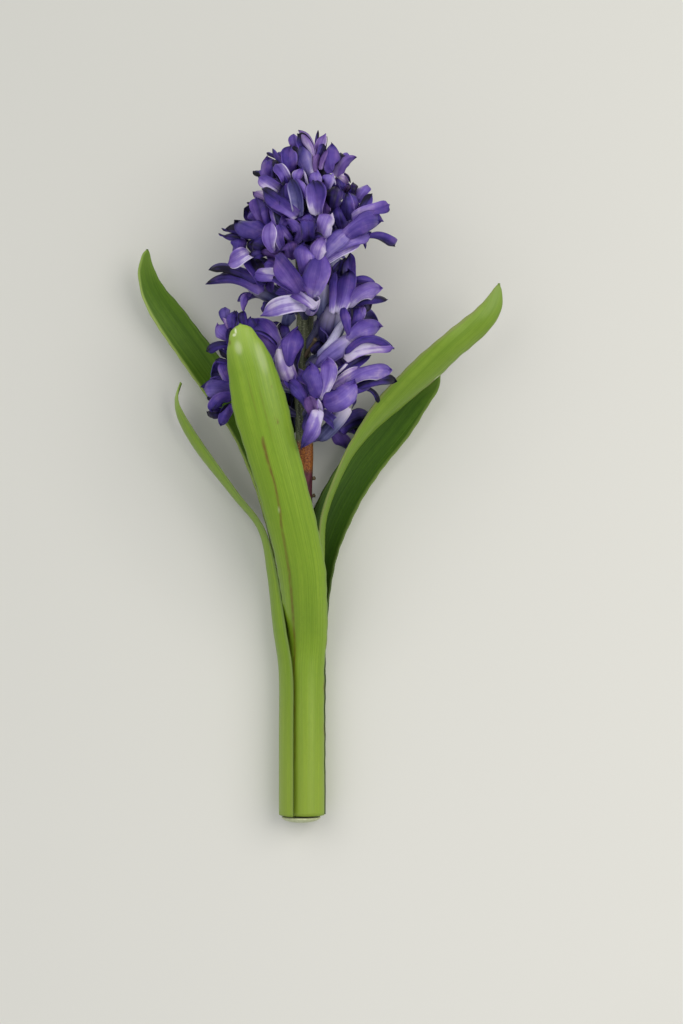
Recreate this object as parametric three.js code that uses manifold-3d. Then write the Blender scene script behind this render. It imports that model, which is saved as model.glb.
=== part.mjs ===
// A cut hyacinth that lies on a flat surface: a flower stalk with its head of florets, five leaves
// bundled round its lower half, and the slice of the bulb's base that they all grow from.
// Millimetres, +Z up from the surface. Places are measured from the middle of the cut end:
// x to the right, y along the flower to its top, z up from the surface.
import * as THREE from "three";
import { mergeVertices } from "three/addons/utils/BufferGeometryUtils.js";
import Module from "manifold-3d";

const wasm = await Module();
wasm.setup();

// Driving dimensions
const MIDDLE = new THREE.Vector3(6.2, 137, 0); // middle of the flower's width and length
const BUNDLE_HEIGHT = 7.9; // middle of the bundle at the cut end, above the surface
const LYING_HEIGHT = 0.5; // middles of the lowest petals above the surface
const STALK_RADIUS = 3.5;
const STALK_SIDES = 8;
const PLATE = { radius: 8.1, thickness: 2.4, dome: 0.9, gap: 0.3, sides: 24 };

// The stalk's middle line: x, y, z
const STALK_LINE = [
  [0, 0.2, 7.9],
  [0, 40, 7.9],
  [0.1, 71, 8.2],
  [-0.4, 102, 10.5],
  [-0.8, 132, 15],
  [-0.2, 147, 19],
  [-1.3, 183, 24],
  [0.1, 202, 26],
  [-1.2, 242, 27],
  [0.2, 257, 27.5],
];

// Florets. A row is one floret: height up the stalk, turn round it from +x towards +z, lean from
// the stalk's direction, reach from the stalk's middle to the throat, roll of its lobes about its
// own axis, the angle that the lobes curl out to, and their length. Angles are in degrees.
const FLORETS_FRONT = [
  [252, 80, 29, 13.6, 0, 72, 13],
  [251, 38, 36, 13, 20, 80, 12.5],
  [246, 32, 50, 14.5, 10, 88, 13],
  [247, 112, 46, 14, 40, 82, 13],
  [244, 128, 60, 15.5, 0, 90, 13],
  [242, 63, 62, 18, 30, 95, 14],
  [241, 108, 63, 17, 15, 95, 14],
  [237, 98, 69, 22, 0, 105, 15],
  [237, 74, 72, 22, 25, 105, 15],
  [236, 37, 76, 20, 5, 95, 14.5],
  [233, -10, 70, 20, 30, 95, 15],
  [234, 130, 73, 20, 10, 100, 15],
  [229, 81, 80, 23, 30, 110, 16],
  [227, 114, 75, 22, 0, 108, 16],
  [226, 160, 75, 21, 20, 98, 15.5],
  [221, 27, 62, 24, 30, 95, 17.5],
  [217, 135, 78, 22, 40, 108, 16],
  [202, 165, 60, 28, 0, 78, 18],
  [200, 89, 60, 24, 0, 112, 18],
  [202, -30, 65, 23, 20, 90, 15],
  [186, 36, 40, 24, 0, 48, 19],
  [182, 43, 73, 24, 30, 100, 18],
  [182, 167, 66, 24, 10, 95, 17],
  [172, 108, 64, 24.2, 0, 105, 18],
  [170, 27, 74, 25, 40, 85, 17],
  [171, 185, 67, 25, 40, 90, 17],
  [161, 73, 77, 24, 22, 112, 18],
  [162, 172, 72, 25, 0, 90, 17],
  [151, -24, 59, 19.6, 0, 70, 17],
];
// Lobes that open unevenly, by the number of the floret in the list: for each of its six lobes the
// extra turn about the floret's axis and the extra curl.
const UNEVEN = {
  0: [[0, -35], [0, 0], [0, 0], [0, 0], [0, 0], [0, 0]],
  11: [[0, 0], [0, 0], [0, 0], [0, 0], [0, 0], [0, 30]],
  15: [[0, 0], [55, 0], [32, -8], [8, -8], [0, 12], [0, 0]],
  18: [[0, -8], [-8, 12], [-8, -30], [49, 0], [28, -8], [20, -5]],
  20: [[20, 0], [0, 0], [30, -25], [20, -30], [-2, 0], [-20, 0]],
  21: [[0, 0], [0, 20], [10, 0], [0, 0], [-5, 0], [-25, 0]],
  23: [[0, 0], [0, 0], [-10, 0], [-35, 45], [0, 0], [5, 0]],
  24: [[0, 0], [0, 20], [0, 0], [-20, 5], [-5, 25], [0, 0]],
  26: [[-60, 0], [-22, 10], [-5, 45], [15, 0], [0, 0], [-30, 0]],
  28: [[0, 0], [0, 0], [0, -30], [0, 0], [0, 0], [0, 0]],
};
// The florets on the underside follow a rule: a steady step up the stalk, to either side in turn.
const FLORETS_UNDER = { count: 6, first: 182, step: 11, lean: 58, reach: 22, curl: 85, lobe: 15.5 };
const LOBES = 6;
const FULL_LOBE = 17; // length of a lobe of the oldest florets
const LOBE_WIDTH_SHARE = 0.42; // of its length
const LOBE_ROWS = [
  [0.34, 1, 1.1],
  [0.7, 0.8, 0.9],
  [1, 0, 0],
]; // share of the length, share of the width, thickness
const LOBE_ROWS_SMALL = [
  [0.45, 1, 1.1],
  [1, 0, 0],
];
const SMALL_LOBE = 14; // under this length, and on the underside, lobes take the shorter list
const LOBE_CLEARANCE = 0.2; // from the plane half way to the next lobe
const LOBE_START = 15; // angle at which a lobe leaves the tube, from the floret's axis
const PEDICEL_RADIUS = 1.1;
const TUBE = [
  [0.08, PEDICEL_RADIUS],
  [0.3, PEDICEL_RADIUS + 0.2],
  [0.4, 3.1],
  [0.66, 2.7],
  [1, 4.1],
]; // share of the reach, radius
const STUBS = [
  [132, 12, 5.2],
  [138, 20, 5.4],
  [190, 62, 8],
]; // pedicels that have lost their floret: height, turn, reach

// Leaves. A row is a place along the rib: x, y, z of the rib's outer face, then the blade's width
// round its curve, the angle that the curve takes up, and the turn of its hollow face about the
// rib, in degrees: 0 faces up, 90 to the right, 180 down to the surface.
const LEAF_STATIONS = 19;
const LEAF_CELLS = 6; // across the blade
const LEAF_MARGIN_SHARE = 0.42; // thickness at the margins as a share of that at the rib

// A row in the bundle: an arc round the stalk, by its outer radius, the angle of its rib from
// +x towards +z, and the angle that it takes up.
function bundled(y, radius, rib, arc) {
  const a = THREE.MathUtils.degToRad(rib);
  return [
    radius * Math.cos(a),
    y,
    BUNDLE_HEIGHT + radius * Math.sin(a),
    radius * THREE.MathUtils.degToRad(arc),
    arc,
    270 - rib,
  ];
}

const LEAF_FRONT = [
  bundled(0, 8.1, 105, 172),
  bundled(30, 8.1, 105, 172),
  bundled(58, 8.2, 105, 165),
  [-1.2, 72, 18, 24, 150, 168],
  [-1.2, 88, 26.5, 23.5, 130, 173],
  [-2.5, 104, 34, 23.5, 115, 175],
  [-7.6, 128, 43, 22.5, 105, 178],
  [-13.9, 152, 50, 23.5, 95, 180],
  [-17.7, 167, 53, 24, 93, 180],
  [-20.2, 179, 54, 22.5, 95, 180],
  [-22.5, 187, 54, 18.5, 100, 180],
  [-23.8, 191.6, 53.5, 13.5, 100, 180],
  [-24.6, 194.8, 53, 7.5, 90, 180],
  [-25.1, 196.4, 52.5, 1.6, 60, 180],
];
const LEAF_LEFT = [
  bundled(0, 10.3, 172, 108),
  bundled(30, 10.3, 172, 108),
  bundled(58, 10.4, 172, 104),
  [-12.8, 76, 10, 18, 98, 96],
  [-15.4, 98, 11, 17, 90, 94],
  [-19.3, 116, 12, 16.5, 75, 94],
  [-30.5, 130, 12.5, 16, 65, 92],
  [-44.6, 148, 13, 14.5, 62, 90],
  [-51.8, 160.6, 13, 12.5, 60, 88],
  [-53.5, 169, 13.5, 9, 55, 86],
  [-51.4, 175.6, 14, 1.6, 40, 84],
];
const LEAF_BACK = [
  bundled(0, 5.4, 158, 120),
  bundled(30, 5.4, 158, 120),
  bundled(58, 5.6, 158, 120),
  [-7.2, 78, 9.8, 13, 110, 104],
  [-8.8, 92, 7.6, 14.5, 105, 78],
  [-10.8, 106, 5.8, 16.5, 95, 50],
  [-14.5, 131, 4.6, 17, 85, 30],
  [-23.8, 158, 4.5, 17, 75, 18],
  [-40.2, 182.6, 6, 16, 72, 10],
  [-52, 200, 9, 14, 70, 5],
  [-60, 212, 12, 10.5, 66, 0],
  [-63.2, 221, 14, 6.5, 60, 0],
  [-63.8, 228.4, 15, 1.6, 40, 0],
];
const LEAF_RIGHT = [
  bundled(0, 5.4, 355, 140),
  bundled(30, 5.4, 355, 140),
  bundled(58, 5.5, 355, 135),
  [6.6, 80, 9.8, 14, 110, -86],
  [7.7, 104, 13, 15, 88, -88],
  [8.6, 122, 16, 15.5, 70, -90],
  [14.6, 141, 21, 16, 62, -93],
  [21.8, 153.4, 23.5, 16.5, 64, -105],
  [34.5, 167.4, 26.5, 17, 70, -125],
  [49.3, 181.2, 30.5, 16.5, 75, -138],
  [58.4, 188.8, 33, 15.5, 75, -142],
  [66.4, 195.4, 33, 14, 75, -148],
  [71.4, 200.8, 33, 11.5, 72, -155],
  [75.2, 206.6, 32, 8, 65, -160],
  [77.7, 214.7, 31, 1.6, 40, -165],
];
const LEAF_RIGHT_REAR = [
  bundled(0, 8.1, 292, 138),
  bundled(30, 8.1, 292, 138),
  bundled(58, 8.1, 294, 134),
  [4.4, 80, 0.7, 17, 118, -20],
  [5.6, 99, 2, 16.5, 105, -10],
  [7.8, 113, 3, 16, 95, -5],
  [13.8, 128.5, 4, 16, 85, -3],
  [23, 144, 5, 16, 80, 0],
  [33.6, 157.2, 7, 15.5, 76, 0],
  [45, 171.4, 10, 12.5, 72, 0],
  [50.7, 175.8, 11.5, 8, 64, 0],
  [54.7, 179.8, 13, 1.6, 40, 0],
];

// A smooth curve through rows of numbers (Catmull-Rom), at t from 0 to 1.
function alongRows(rows, t) {
  const last = rows.length - 1;
  const at = Math.min(t * last, last - 1e-9);
  const i = Math.floor(at);
  const f = at - i;
  const [a, b, c, d] = [-1, 0, 1, 2].map((k) => rows[Math.min(Math.max(i + k, 0), last)]);
  return b.map((_, n) => {
    const slope = 0.5 * (c[n] - a[n]);
    const next = 0.5 * (d[n] - b[n]);
    const rise = c[n] - b[n];
    return b[n] + f * (slope + f * (3 * rise - 2 * slope - next + f * (slope + next - 2 * rise)));
  });
}

// A closed skin over rings of points, each ring in the same order, with flat ends. Rings of one
// point close to a tip. Both long sides of a flat ring are split into triangles alike.
function skin(rings) {
  const points = rings.flat();
  const start = [];
  let count = 0;
  for (const ring of rings) {
    start.push(count);
    count += ring.length;
  }
  const faces = [];
  for (let i = 0; i + 1 < rings.length; i++) {
    const [n, m] = [rings[i].length, rings[i + 1].length];
    for (let j = 0; j < Math.max(n, m); j++) {
      const a = start[i] + (j % n);
      const b = start[i] + ((j + 1) % n);
      const c = start[i + 1] + ((j + 1) % m);
      const d = start[i + 1] + (j % m);
      const otherWay = n === m && 2 * j >= n;
      if (otherWay) {
        faces.push([a, b, d], [b, c, d]);
      } else {
        if (n > 1) faces.push([a, b, c]);
        if (m > 1) faces.push([a, c, d]);
      }
    }
  }
  for (const [i, turned] of [[0, false], [rings.length - 1, true]]) {
    const n = rings[i].length;
    for (let j = 0; 2 * j + 2 < n; j++) {
      const strip = [
        [start[i] + j, start[i] + n - 1 - j, start[i] + j + 1],
        [start[i] + j + 1, start[i] + n - 1 - j, start[i] + n - 2 - j],
      ].filter(([p, q, r]) => p !== q && q !== r && p !== r);
      faces.push(...(turned ? strip.map(([p, q, r]) => [p, r, q]) : strip));
    }
  }
  return solid(points, faces);
}

// A solid from points and triangles, turned the right way out.
function solid(points, faces) {
  const vertProperties = new Float32Array(points.flatMap((p) => [p.x, p.y, p.z]));
  let made = new wasm.Manifold(
    new wasm.Mesh({ numProp: 3, vertProperties, triVerts: new Uint32Array(faces.flat()) }),
  );
  if (made.volume() < 0) {
    const turned = faces.map(([a, b, c]) => [a, c, b]);
    made = new wasm.Manifold(
      new wasm.Mesh({ numProp: 3, vertProperties, triVerts: new Uint32Array(turned.flat()) }),
    );
  }
  return made;
}

// A solid from a closed three.js geometry.
function solidOf(geometry) {
  const bare = geometry.clone();
  bare.deleteAttribute("normal");
  bare.deleteAttribute("uv");
  const merged = mergeVertices(bare, 1e-4);
  const vertProperties = merged.attributes.position.array;
  const triVerts = new Uint32Array(merged.index.array);
  return new wasm.Manifold(new wasm.Mesh({ numProp: 3, vertProperties, triVerts }));
}

function geometryOf(made) {
  const { vertProperties, triVerts } = made.getMesh();
  const geometry = new THREE.BufferGeometry();
  geometry.setAttribute("position", new THREE.BufferAttribute(vertProperties, 3));
  geometry.setIndex(new THREE.BufferAttribute(triVerts, 1));
  geometry.computeVertexNormals();
  return geometry;
}

// A leaf blade: at each station an arc of the blade's width bends from the rib towards the hollow
// face, and the blade is thickest at the rib.
function leafBlade(rows, thickBase, thickTip) {
  const up = new THREE.Vector3(0, 0, 1);
  const rib = (t) => new THREE.Vector3(...alongRows(rows, t));
  const rings = [];
  for (let i = 0; i < LEAF_STATIONS; i++) {
    const t = i / (LEAF_STATIONS - 1);
    const [x, y, z, width, arcDegrees, turnDegrees] = alongRows(rows, t);
    const step = 0.5 / (rows.length - 1);
    const along = rib(Math.min(t + step, 1)).sub(rib(Math.max(t - step, 0))).normalize();
    const side = new THREE.Vector3().crossVectors(along, up).normalize();
    const above = new THREE.Vector3().crossVectors(side, along);
    const turn = THREE.MathUtils.degToRad(turnDegrees);
    const arc = THREE.MathUtils.degToRad(arcDegrees);
    const hollow = side.multiplyScalar(Math.sin(turn)).addScaledVector(above, Math.cos(turn));
    const across = new THREE.Vector3().crossVectors(along, hollow);
    const radius = width / arc;
    const thick = THREE.MathUtils.lerp(thickBase, thickTip, t);
    const outer = [];
    const inner = [];
    for (let j = 0; j <= LEAF_CELLS; j++) {
      const u = (2 * j) / LEAF_CELLS - 1;
      const a = (u * arc) / 2;
      const here = thick * (1 - (1 - LEAF_MARGIN_SHARE) * u * u);
      const point = new THREE.Vector3(x, y, z)
        .addScaledVector(across, radius * Math.sin(a))
        .addScaledVector(hollow, radius * (1 - Math.cos(a)));
      outer.push(point);
      inner.unshift(
        point
          .clone()
          .addScaledVector(across, -here * Math.sin(a))
          .addScaledVector(hollow, here * Math.cos(a)),
      );
    }
    rings.push([...outer, ...inner]);
  }
  return skin(rings);
}

// The lowest leaf is pressed flat where the flower lies on it.
function pressedFlat(blade) {
  const below = new THREE.BoxGeometry(60, 400, 20);
  below.translate(0, 100, -10);
  return blade.subtract(solidOf(below));
}

// A round stem along a line of places, with a radius at each.
function stem(places, radii, sides) {
  const rings = places.map((place, i) => {
    const along = places[Math.min(i + 1, places.length - 1)]
      .clone()
      .sub(places[Math.max(i - 1, 0)])
      .normalize();
    const reference = Math.abs(along.x) < 0.8 ? new THREE.Vector3(1, 0, 0) : new THREE.Vector3(0, 1, 0);
    const first = new THREE.Vector3().crossVectors(along, reference).normalize();
    const second = new THREE.Vector3().crossVectors(along, first);
    return Array.from({ length: sides }, (_, j) => {
      const a = (2 * Math.PI * j) / sides;
      return place
        .clone()
        .addScaledVector(first, radii[i] * Math.cos(a))
        .addScaledVector(second, radii[i] * Math.sin(a));
    });
  });
  return skin(rings);
}

// Where the stalk's middle is at a length along the flower.
function stalkAt(y) {
  const last = STALK_LINE.length - 1;
  const i = Math.max(0, Math.min(last - 1, STALK_LINE.findIndex((row) => row[1] > y) - 1));
  const [a, b] = [STALK_LINE[i], STALK_LINE[i + 1]];
  const f = (y - a[1]) / (b[1] - a[1]);
  return new THREE.Vector3(...a).lerp(new THREE.Vector3(...b), f);
}

// A repeatable draw between 0 and 1.
function draw(n) {
  const s = Math.sin(n * 12.9898) * 43758.5453;
  return s - Math.floor(s);
}

// Petals that meet the surface, or a leaf above or below, bend along it instead of through it.
function bendClear(point) {
  const near = (x0, y0, x1, y1, reach) => {
    const [dx, dy] = [x1 - x0, y1 - y0];
    const f = ((point.x - x0) * dx + (point.y - y0) * dy) / (dx * dx + dy * dy);
    const c = Math.min(Math.max(f, 0), 1);
    const d = Math.hypot(point.x - x0 - c * dx, point.y - y0 - c * dy);
    return Math.exp(-((d / reach) ** 4));
  };
  const below = Math.max(near(-14, 131, -62, 222, 14), near(8, 113, 53, 178, 15.5));
  const floor = LYING_HEIGHT + below * 14.8;
  const soft = 4;
  if (point.z < floor + soft) {
    point.z = floor + soft * Math.exp((point.z - floor - soft) / soft);
  }
  const above = near(-3, 104, -24, 194, 17);
  const ceiling = 80 - above * 38;
  if (point.z > ceiling - soft) {
    point.z = ceiling - soft * Math.exp((ceiling - soft - point.z) / soft);
  }
  return point;
}

// One floret as a single closed skin, from inside the stalk to the tips of its six lobes. The tube
// has six sides. At the throat each side carries a lobe, a narrow blade with a ridge down both
// faces and thin margins, which curls out from the tube, and the throat dips to a point. A lobe is
// cut back where it would pass the plane half way to the next one.
function floret([height, turnDegrees, leanDegrees, reach, roll, curl, length], n, rows, uneven) {
  const turn = THREE.MathUtils.degToRad(turnDegrees);
  const lean = THREE.MathUtils.degToRad(leanDegrees);
  const axis = new THREE.Vector3(
    Math.cos(turn) * Math.sin(lean),
    Math.cos(lean),
    Math.sin(turn) * Math.sin(lean),
  );
  const first = new THREE.Vector3().crossVectors(axis, new THREE.Vector3(0, 1, 0)).normalize();
  const second = new THREE.Vector3().crossVectors(axis, first);
  const outwardAt = (degrees) => {
    const a = THREE.MathUtils.degToRad(degrees);
    return first.clone().multiplyScalar(Math.cos(a)).addScaledVector(second, Math.sin(a));
  };
  const size = 0.4 + (0.6 * length) / FULL_LOBE;
  const root = stalkAt(height);
  const middle = (share) => bendClear(root.clone().addScaledVector(axis, reach * share));
  const lobes = Array.from({ length: LOBES }, (_, k) => {
    const seed = n * LOBES + k;
    const [extraTurn, extraCurl] = uneven ? uneven[k] : [0, 0];
    return {
      turn: roll + 60 * k + 10 * (draw(seed) - 0.5) + extraTurn,
      length: length * (0.94 + 0.12 * draw(seed + 0.3)),
      curl: curl + 30 * (draw(seed + 0.6) - 0.5) + extraCurl,
    };
  });
  const turns = lobes.map((each) => each.turn);
  const gapAfter = turns.map((t, k) => (turns[k + 1] ?? turns[0] + 360) - t);

  const points = [];
  const faces = [];
  const add = (place) => points.push(place) - 1;
  const ring = (centre, radius, turns) =>
    turns.map((t) => add(centre.clone().addScaledVector(outwardAt(t), radius)));
  const tube = TUBE.map(([share, radius]) => ring(middle(share), radius * size, turns));
  const throat = middle(1);
  const rimRadius = TUBE.at(-1)[1] * size;
  const notches = ring(throat, rimRadius, turns.map((t, k) => t + gapAfter[k] / 2));
  const inside = ring(throat, rimRadius - 0.9, turns);
  const dip = add(middle(0.86));
  for (let i = 0; i + 2 < tube.length; i++) {
    for (let k = 0; k < LOBES; k++) {
      const next = (k + 1) % LOBES;
      faces.push([tube[i][k], tube[i][next], tube[i + 1][next]]);
      faces.push([tube[i][k], tube[i + 1][next], tube[i + 1][k]]);
    }
  }
  for (let k = 1; k + 1 < LOBES; k++) faces.push([tube[0][0], tube[0][k + 1], tube[0][k]]);

  const [waist, rim] = tube.slice(-2);
  for (let k = 0; k < LOBES; k++) {
    const next = (k + 1) % LOBES;
    const last = (k + LOBES - 1) % LOBES;
    faces.push([waist[k], notches[k], rim[k]], [waist[k], waist[next], notches[k]]);
    faces.push([waist[next], rim[next], notches[k]]);
    faces.push([dip, notches[last], inside[k]], [dip, inside[k], notches[k]]);
    const outward = outwardAt(lobes[k].turn);
    const across = new THREE.Vector3().crossVectors(axis, outward);
    const start = THREE.MathUtils.degToRad(LOBE_START);
    const bend = THREE.MathUtils.degToRad(lobes[k].curl) - start;
    const arm = lobes[k].length / bend;
    let [left, outer, right, inner] = [notches[last], rim[k], notches[k], inside[k]];
    const place = (share, aside) => {
      const a = start + bend * share;
      return bendClear(
        throat
          .clone()
          .addScaledVector(outward, rimRadius - 0.45 + arm * (Math.cos(start) - Math.cos(a)))
          .addScaledVector(axis, arm * (Math.sin(a) - Math.sin(start)))
          .addScaledVector(across, aside),
      );
    };
    for (const [share, wide, thick] of rows) {
      if (wide === 0) {
        const tip = add(place(share, 0));
        faces.push([left, outer, tip], [outer, right, tip], [left, tip, inner], [inner, tip, right]);
        continue;
      }
      const out = rimRadius - 0.45 + arm * (Math.cos(start) - Math.cos(start + bend * share));
      const halfWidth = (gap) => {
        const free = out * Math.tan(THREE.MathUtils.degToRad(Math.min(gap, 120) / 2)) - LOBE_CLEARANCE;
        return Math.min(0.5 * LOBE_WIDTH_SHARE * length * wide, free);
      };
      const along = place(share + 0.05, 0).sub(place(share - 0.05, 0));
      const normal = place(share, 1).sub(place(share, -1)).cross(along).normalize();
      const [l, o, r, i] = [
        add(place(share, -halfWidth(gapAfter[last]))),
        add(place(share, 0).addScaledVector(normal, thick / 2)),
        add(place(share, halfWidth(gapAfter[k]))),
        add(place(share, 0).addScaledVector(normal, -thick / 2)),
      ];
      faces.push([left, outer, l], [outer, o, l], [outer, right, r], [outer, r, o]);
      faces.push([left, l, inner], [inner, l, i], [inner, r, right], [inner, i, r]);
      [left, outer, right, inner] = [l, o, r, i];
    }
  }
  return solid(points, faces);
}

// The slice of the bulb's base: a disc whose cut face bulges a little away from the stalk.
function basalPlate() {
  const profile = [
    [0, 0],
    [PLATE.radius - 0.7, 0],
    [PLATE.radius, -0.6],
    [PLATE.radius, -PLATE.thickness + PLATE.dome],
    [PLATE.radius * 0.75, -PLATE.thickness + PLATE.dome * 0.3],
    [0, -PLATE.thickness],
  ].map(([r, y]) => new THREE.Vector2(r, y));
  const disc = new THREE.LatheGeometry(profile.reverse(), PLATE.sides);
  disc.translate(0, -PLATE.gap, BUNDLE_HEIGHT + 0.35);
  return disc;
}

const flower = new THREE.Group();
flower.position.set(-MIDDLE.x, -MIDDLE.y, 0);

function addPiece(name, geometry, color, roughness) {
  const material = new THREE.MeshStandardMaterial({ color, roughness, metalness: 0 });
  const piece = new THREE.Mesh(geometry, material);
  piece.name = name;
  flower.add(piece);
}

// The stalk and its florets, as one body: what the joining seals inside is filled.
function flowerStalk() {
  const places = STALK_LINE.map((row) => new THREE.Vector3(...row));
  const radii = places.map((place) => STALK_RADIUS * (place.y > 230 ? 0.75 : 1));
  const under = Array.from({ length: FLORETS_UNDER.count }, (_, n) => {
    const { first, step, lean, reach, curl, lobe: length } = FLORETS_UNDER;
    const turn = 270 + (n % 2 ? 1 : -1) * (25 + 35 * draw(n + 0.1));
    return [first + step * n, turn, lean, reach, 60 * draw(n + 0.4), curl, length];
  });
  const pieces = [stem(places, radii, STALK_SIDES)];
  FLORETS_FRONT.forEach((row, n) => {
    const rows = row.at(-1) < SMALL_LOBE ? LOBE_ROWS_SMALL : LOBE_ROWS;
    pieces.push(floret(row, n, rows, UNEVEN[n]));
  });
  under.forEach((row, n) => pieces.push(floret(row, n + FLORETS_FRONT.length, LOBE_ROWS_SMALL)));
  for (const [height, turn, reach] of STUBS) {
    const a = THREE.MathUtils.degToRad(turn);
    const root = stalkAt(height);
    const tip = root.clone().add(new THREE.Vector3(Math.cos(a), 0.4, Math.sin(a)).multiplyScalar(reach));
    pieces.push(stem([root, tip], [PEDICEL_RADIUS, PEDICEL_RADIUS * 0.7], LOBES));
  }
  const joined = wasm.Manifold.union(pieces);
  // loose scraps are dropped
  const bodies = joined.decompose().filter((body) => body.volume() > 0);
  return bodies.reduce((a, b) => (a.volume() > b.volume() ? a : b));
}

addPiece("basal_plate", basalPlate(), 0xdfe3cf, 0.6);
addPiece("flower_stalk", geometryOf(flowerStalk()), 0x5a4a9c, 0.6);
addPiece("leaf_front", geometryOf(leafBlade(LEAF_FRONT, 2.3, 1.2)), 0x82a03c, 0.45);
addPiece("leaf_left", geometryOf(leafBlade(LEAF_LEFT, 1.8, 1.1)), 0x82a03c, 0.45);
addPiece("leaf_back", geometryOf(leafBlade(LEAF_BACK, 1.5, 1.1)), 0x3f6420, 0.45);
addPiece("leaf_right", geometryOf(leafBlade(LEAF_RIGHT, 1.5, 1.1)), 0x82a03c, 0.45);
addPiece("leaf_right_rear", geometryOf(pressedFlat(leafBlade(LEAF_RIGHT_REAR, 2.2, 1.1))), 0x3f6420, 0.45);

export default flower;
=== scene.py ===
# %% [markdown]
# # A cut hyacinth, lying down
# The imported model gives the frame: seven rigid solids with facets. This script dresses them. Each
# leaf, the stalk, the florets and the slice of the bulb's base get a finer piece in the same
# place. All of them are worked out as grids of points, so a reader can follow each formula.

# %% Load the frame
import math

import bpy
import numpy as np
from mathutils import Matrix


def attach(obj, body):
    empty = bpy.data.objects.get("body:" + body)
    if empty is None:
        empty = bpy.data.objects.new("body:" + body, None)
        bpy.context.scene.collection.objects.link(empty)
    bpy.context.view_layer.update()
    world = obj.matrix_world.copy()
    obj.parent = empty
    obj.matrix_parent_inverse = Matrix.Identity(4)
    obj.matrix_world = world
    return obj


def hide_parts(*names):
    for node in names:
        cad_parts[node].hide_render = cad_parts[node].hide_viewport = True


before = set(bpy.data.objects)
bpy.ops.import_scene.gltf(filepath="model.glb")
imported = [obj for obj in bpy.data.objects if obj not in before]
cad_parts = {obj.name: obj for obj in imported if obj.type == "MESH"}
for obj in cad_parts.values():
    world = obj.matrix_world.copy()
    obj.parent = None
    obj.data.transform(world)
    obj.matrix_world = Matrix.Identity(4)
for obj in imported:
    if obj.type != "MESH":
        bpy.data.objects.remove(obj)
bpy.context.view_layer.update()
print("solids:", sorted(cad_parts))

# %% [markdown]
# ## Where things are
# The source of the solids measures in millimetres from the middle of the cut end: x to the
# right, y along the flower to its top, z up from the surface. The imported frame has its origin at
# the middle of the flower's box. The same numbers are used here, and one shift brings the finished
# points into the frame, in metres.

# %% Units and the middle of the flower
MM = 0.001
MIDDLE = np.array([6.2, 137.0, 0.0])
BUNDLE_HEIGHT = 7.9
LYING_HEIGHT = 0.5
UP = np.array([0.0, 0.0, 1.0])


def into_frame(points):
    """The flower's own millimetres turned into the frame's metres: less the middle, over 1000."""
    return (np.asarray(points, float) - MIDDLE) * MM


# %% [markdown]
# ## Small helpers
# One function turns a colour from the web's hexadecimal form into the linear numbers that
# Blender's shaders expect. Others give smooth steps and repeatable draws. One makes a mesh object
# from points and quads, and stores named values on the points, so a material can follow the shape
# of a petal or a leaf.


# %% Colour, number and mesh helpers
def linear(code):
    """sRGB hex to linear: c / 12.92 for dark values, ((c + 0.055) / 1.055) to the 2.4 above."""
    c = np.array([int(code[i : i + 2], 16) for i in (1, 3, 5)]) / 255
    c = np.where(c <= 0.04045, c / 12.92, ((c + 0.055) / 1.055) ** 2.4)
    return (*c.tolist(), 1.0)


def unit(vectors):
    """Vectors scaled to length 1, over their last axis."""
    return vectors / np.maximum(np.linalg.norm(vectors, axis=-1, keepdims=True), 1e-9)


def smooth(low, high, x):
    """Rises from 0 at low to 1 at high as 3f squared less 2f cubed."""
    f = np.clip((x - low) / (high - low), 0, 1)
    return f * f * (3 - 2 * f)


def draw(n):
    """A repeatable draw from 0 to 1: the fraction of 43758.5453 times the sine of 12.9898 n."""
    s = np.sin(np.asarray(n, float) * 12.9898) * 43758.5453
    return s - np.floor(s)


def over_cells(numbers):
    """Two more axes, so that one number for each blade holds for all its rows and columns."""
    return np.asarray(numbers)[..., None, None]


def make_piece(name, points, quads, finishes, which=None, values=None):
    """A mesh object from millimetre points and quads, with one number per point for each name in
    values, and finishes[which] on each quad. It rides on the one body."""
    mesh = bpy.data.meshes.new(name)
    mesh.from_pydata(into_frame(points).tolist(), [], quads.tolist())
    for finish in finishes:
        mesh.materials.append(finish)
    if which is not None:
        mesh.polygons.foreach_set("material_index", np.asarray(which, np.int32))
    for key, numbers in (values or {}).items():
        store = mesh.attributes.new(key, "FLOAT", "POINT")
        store.data.foreach_set("value", np.asarray(numbers, np.float32).ravel())
    mesh.polygons.foreach_set("use_smooth", np.ones(len(mesh.polygons), bool))
    mesh.validate()
    mesh.update()
    piece = bpy.data.objects.new(name, mesh)
    bpy.context.scene.collection.objects.link(piece)
    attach(piece, "root")
    triangles = sum(len(p.vertices) - 2 for p in mesh.polygons)
    print(f"{name}: {len(mesh.vertices)} points, {triangles} triangles")
    return piece


# %% [markdown]
# ## Thin blades
# A petal and a leaf are both thin blades. Each is a grid of points on its middle surface. The grid
# is moved half its thickness along its own normal to both sides, and a band of quads closes the
# four edges, so the blade is a closed shell with an outer and an inner skin.


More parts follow.
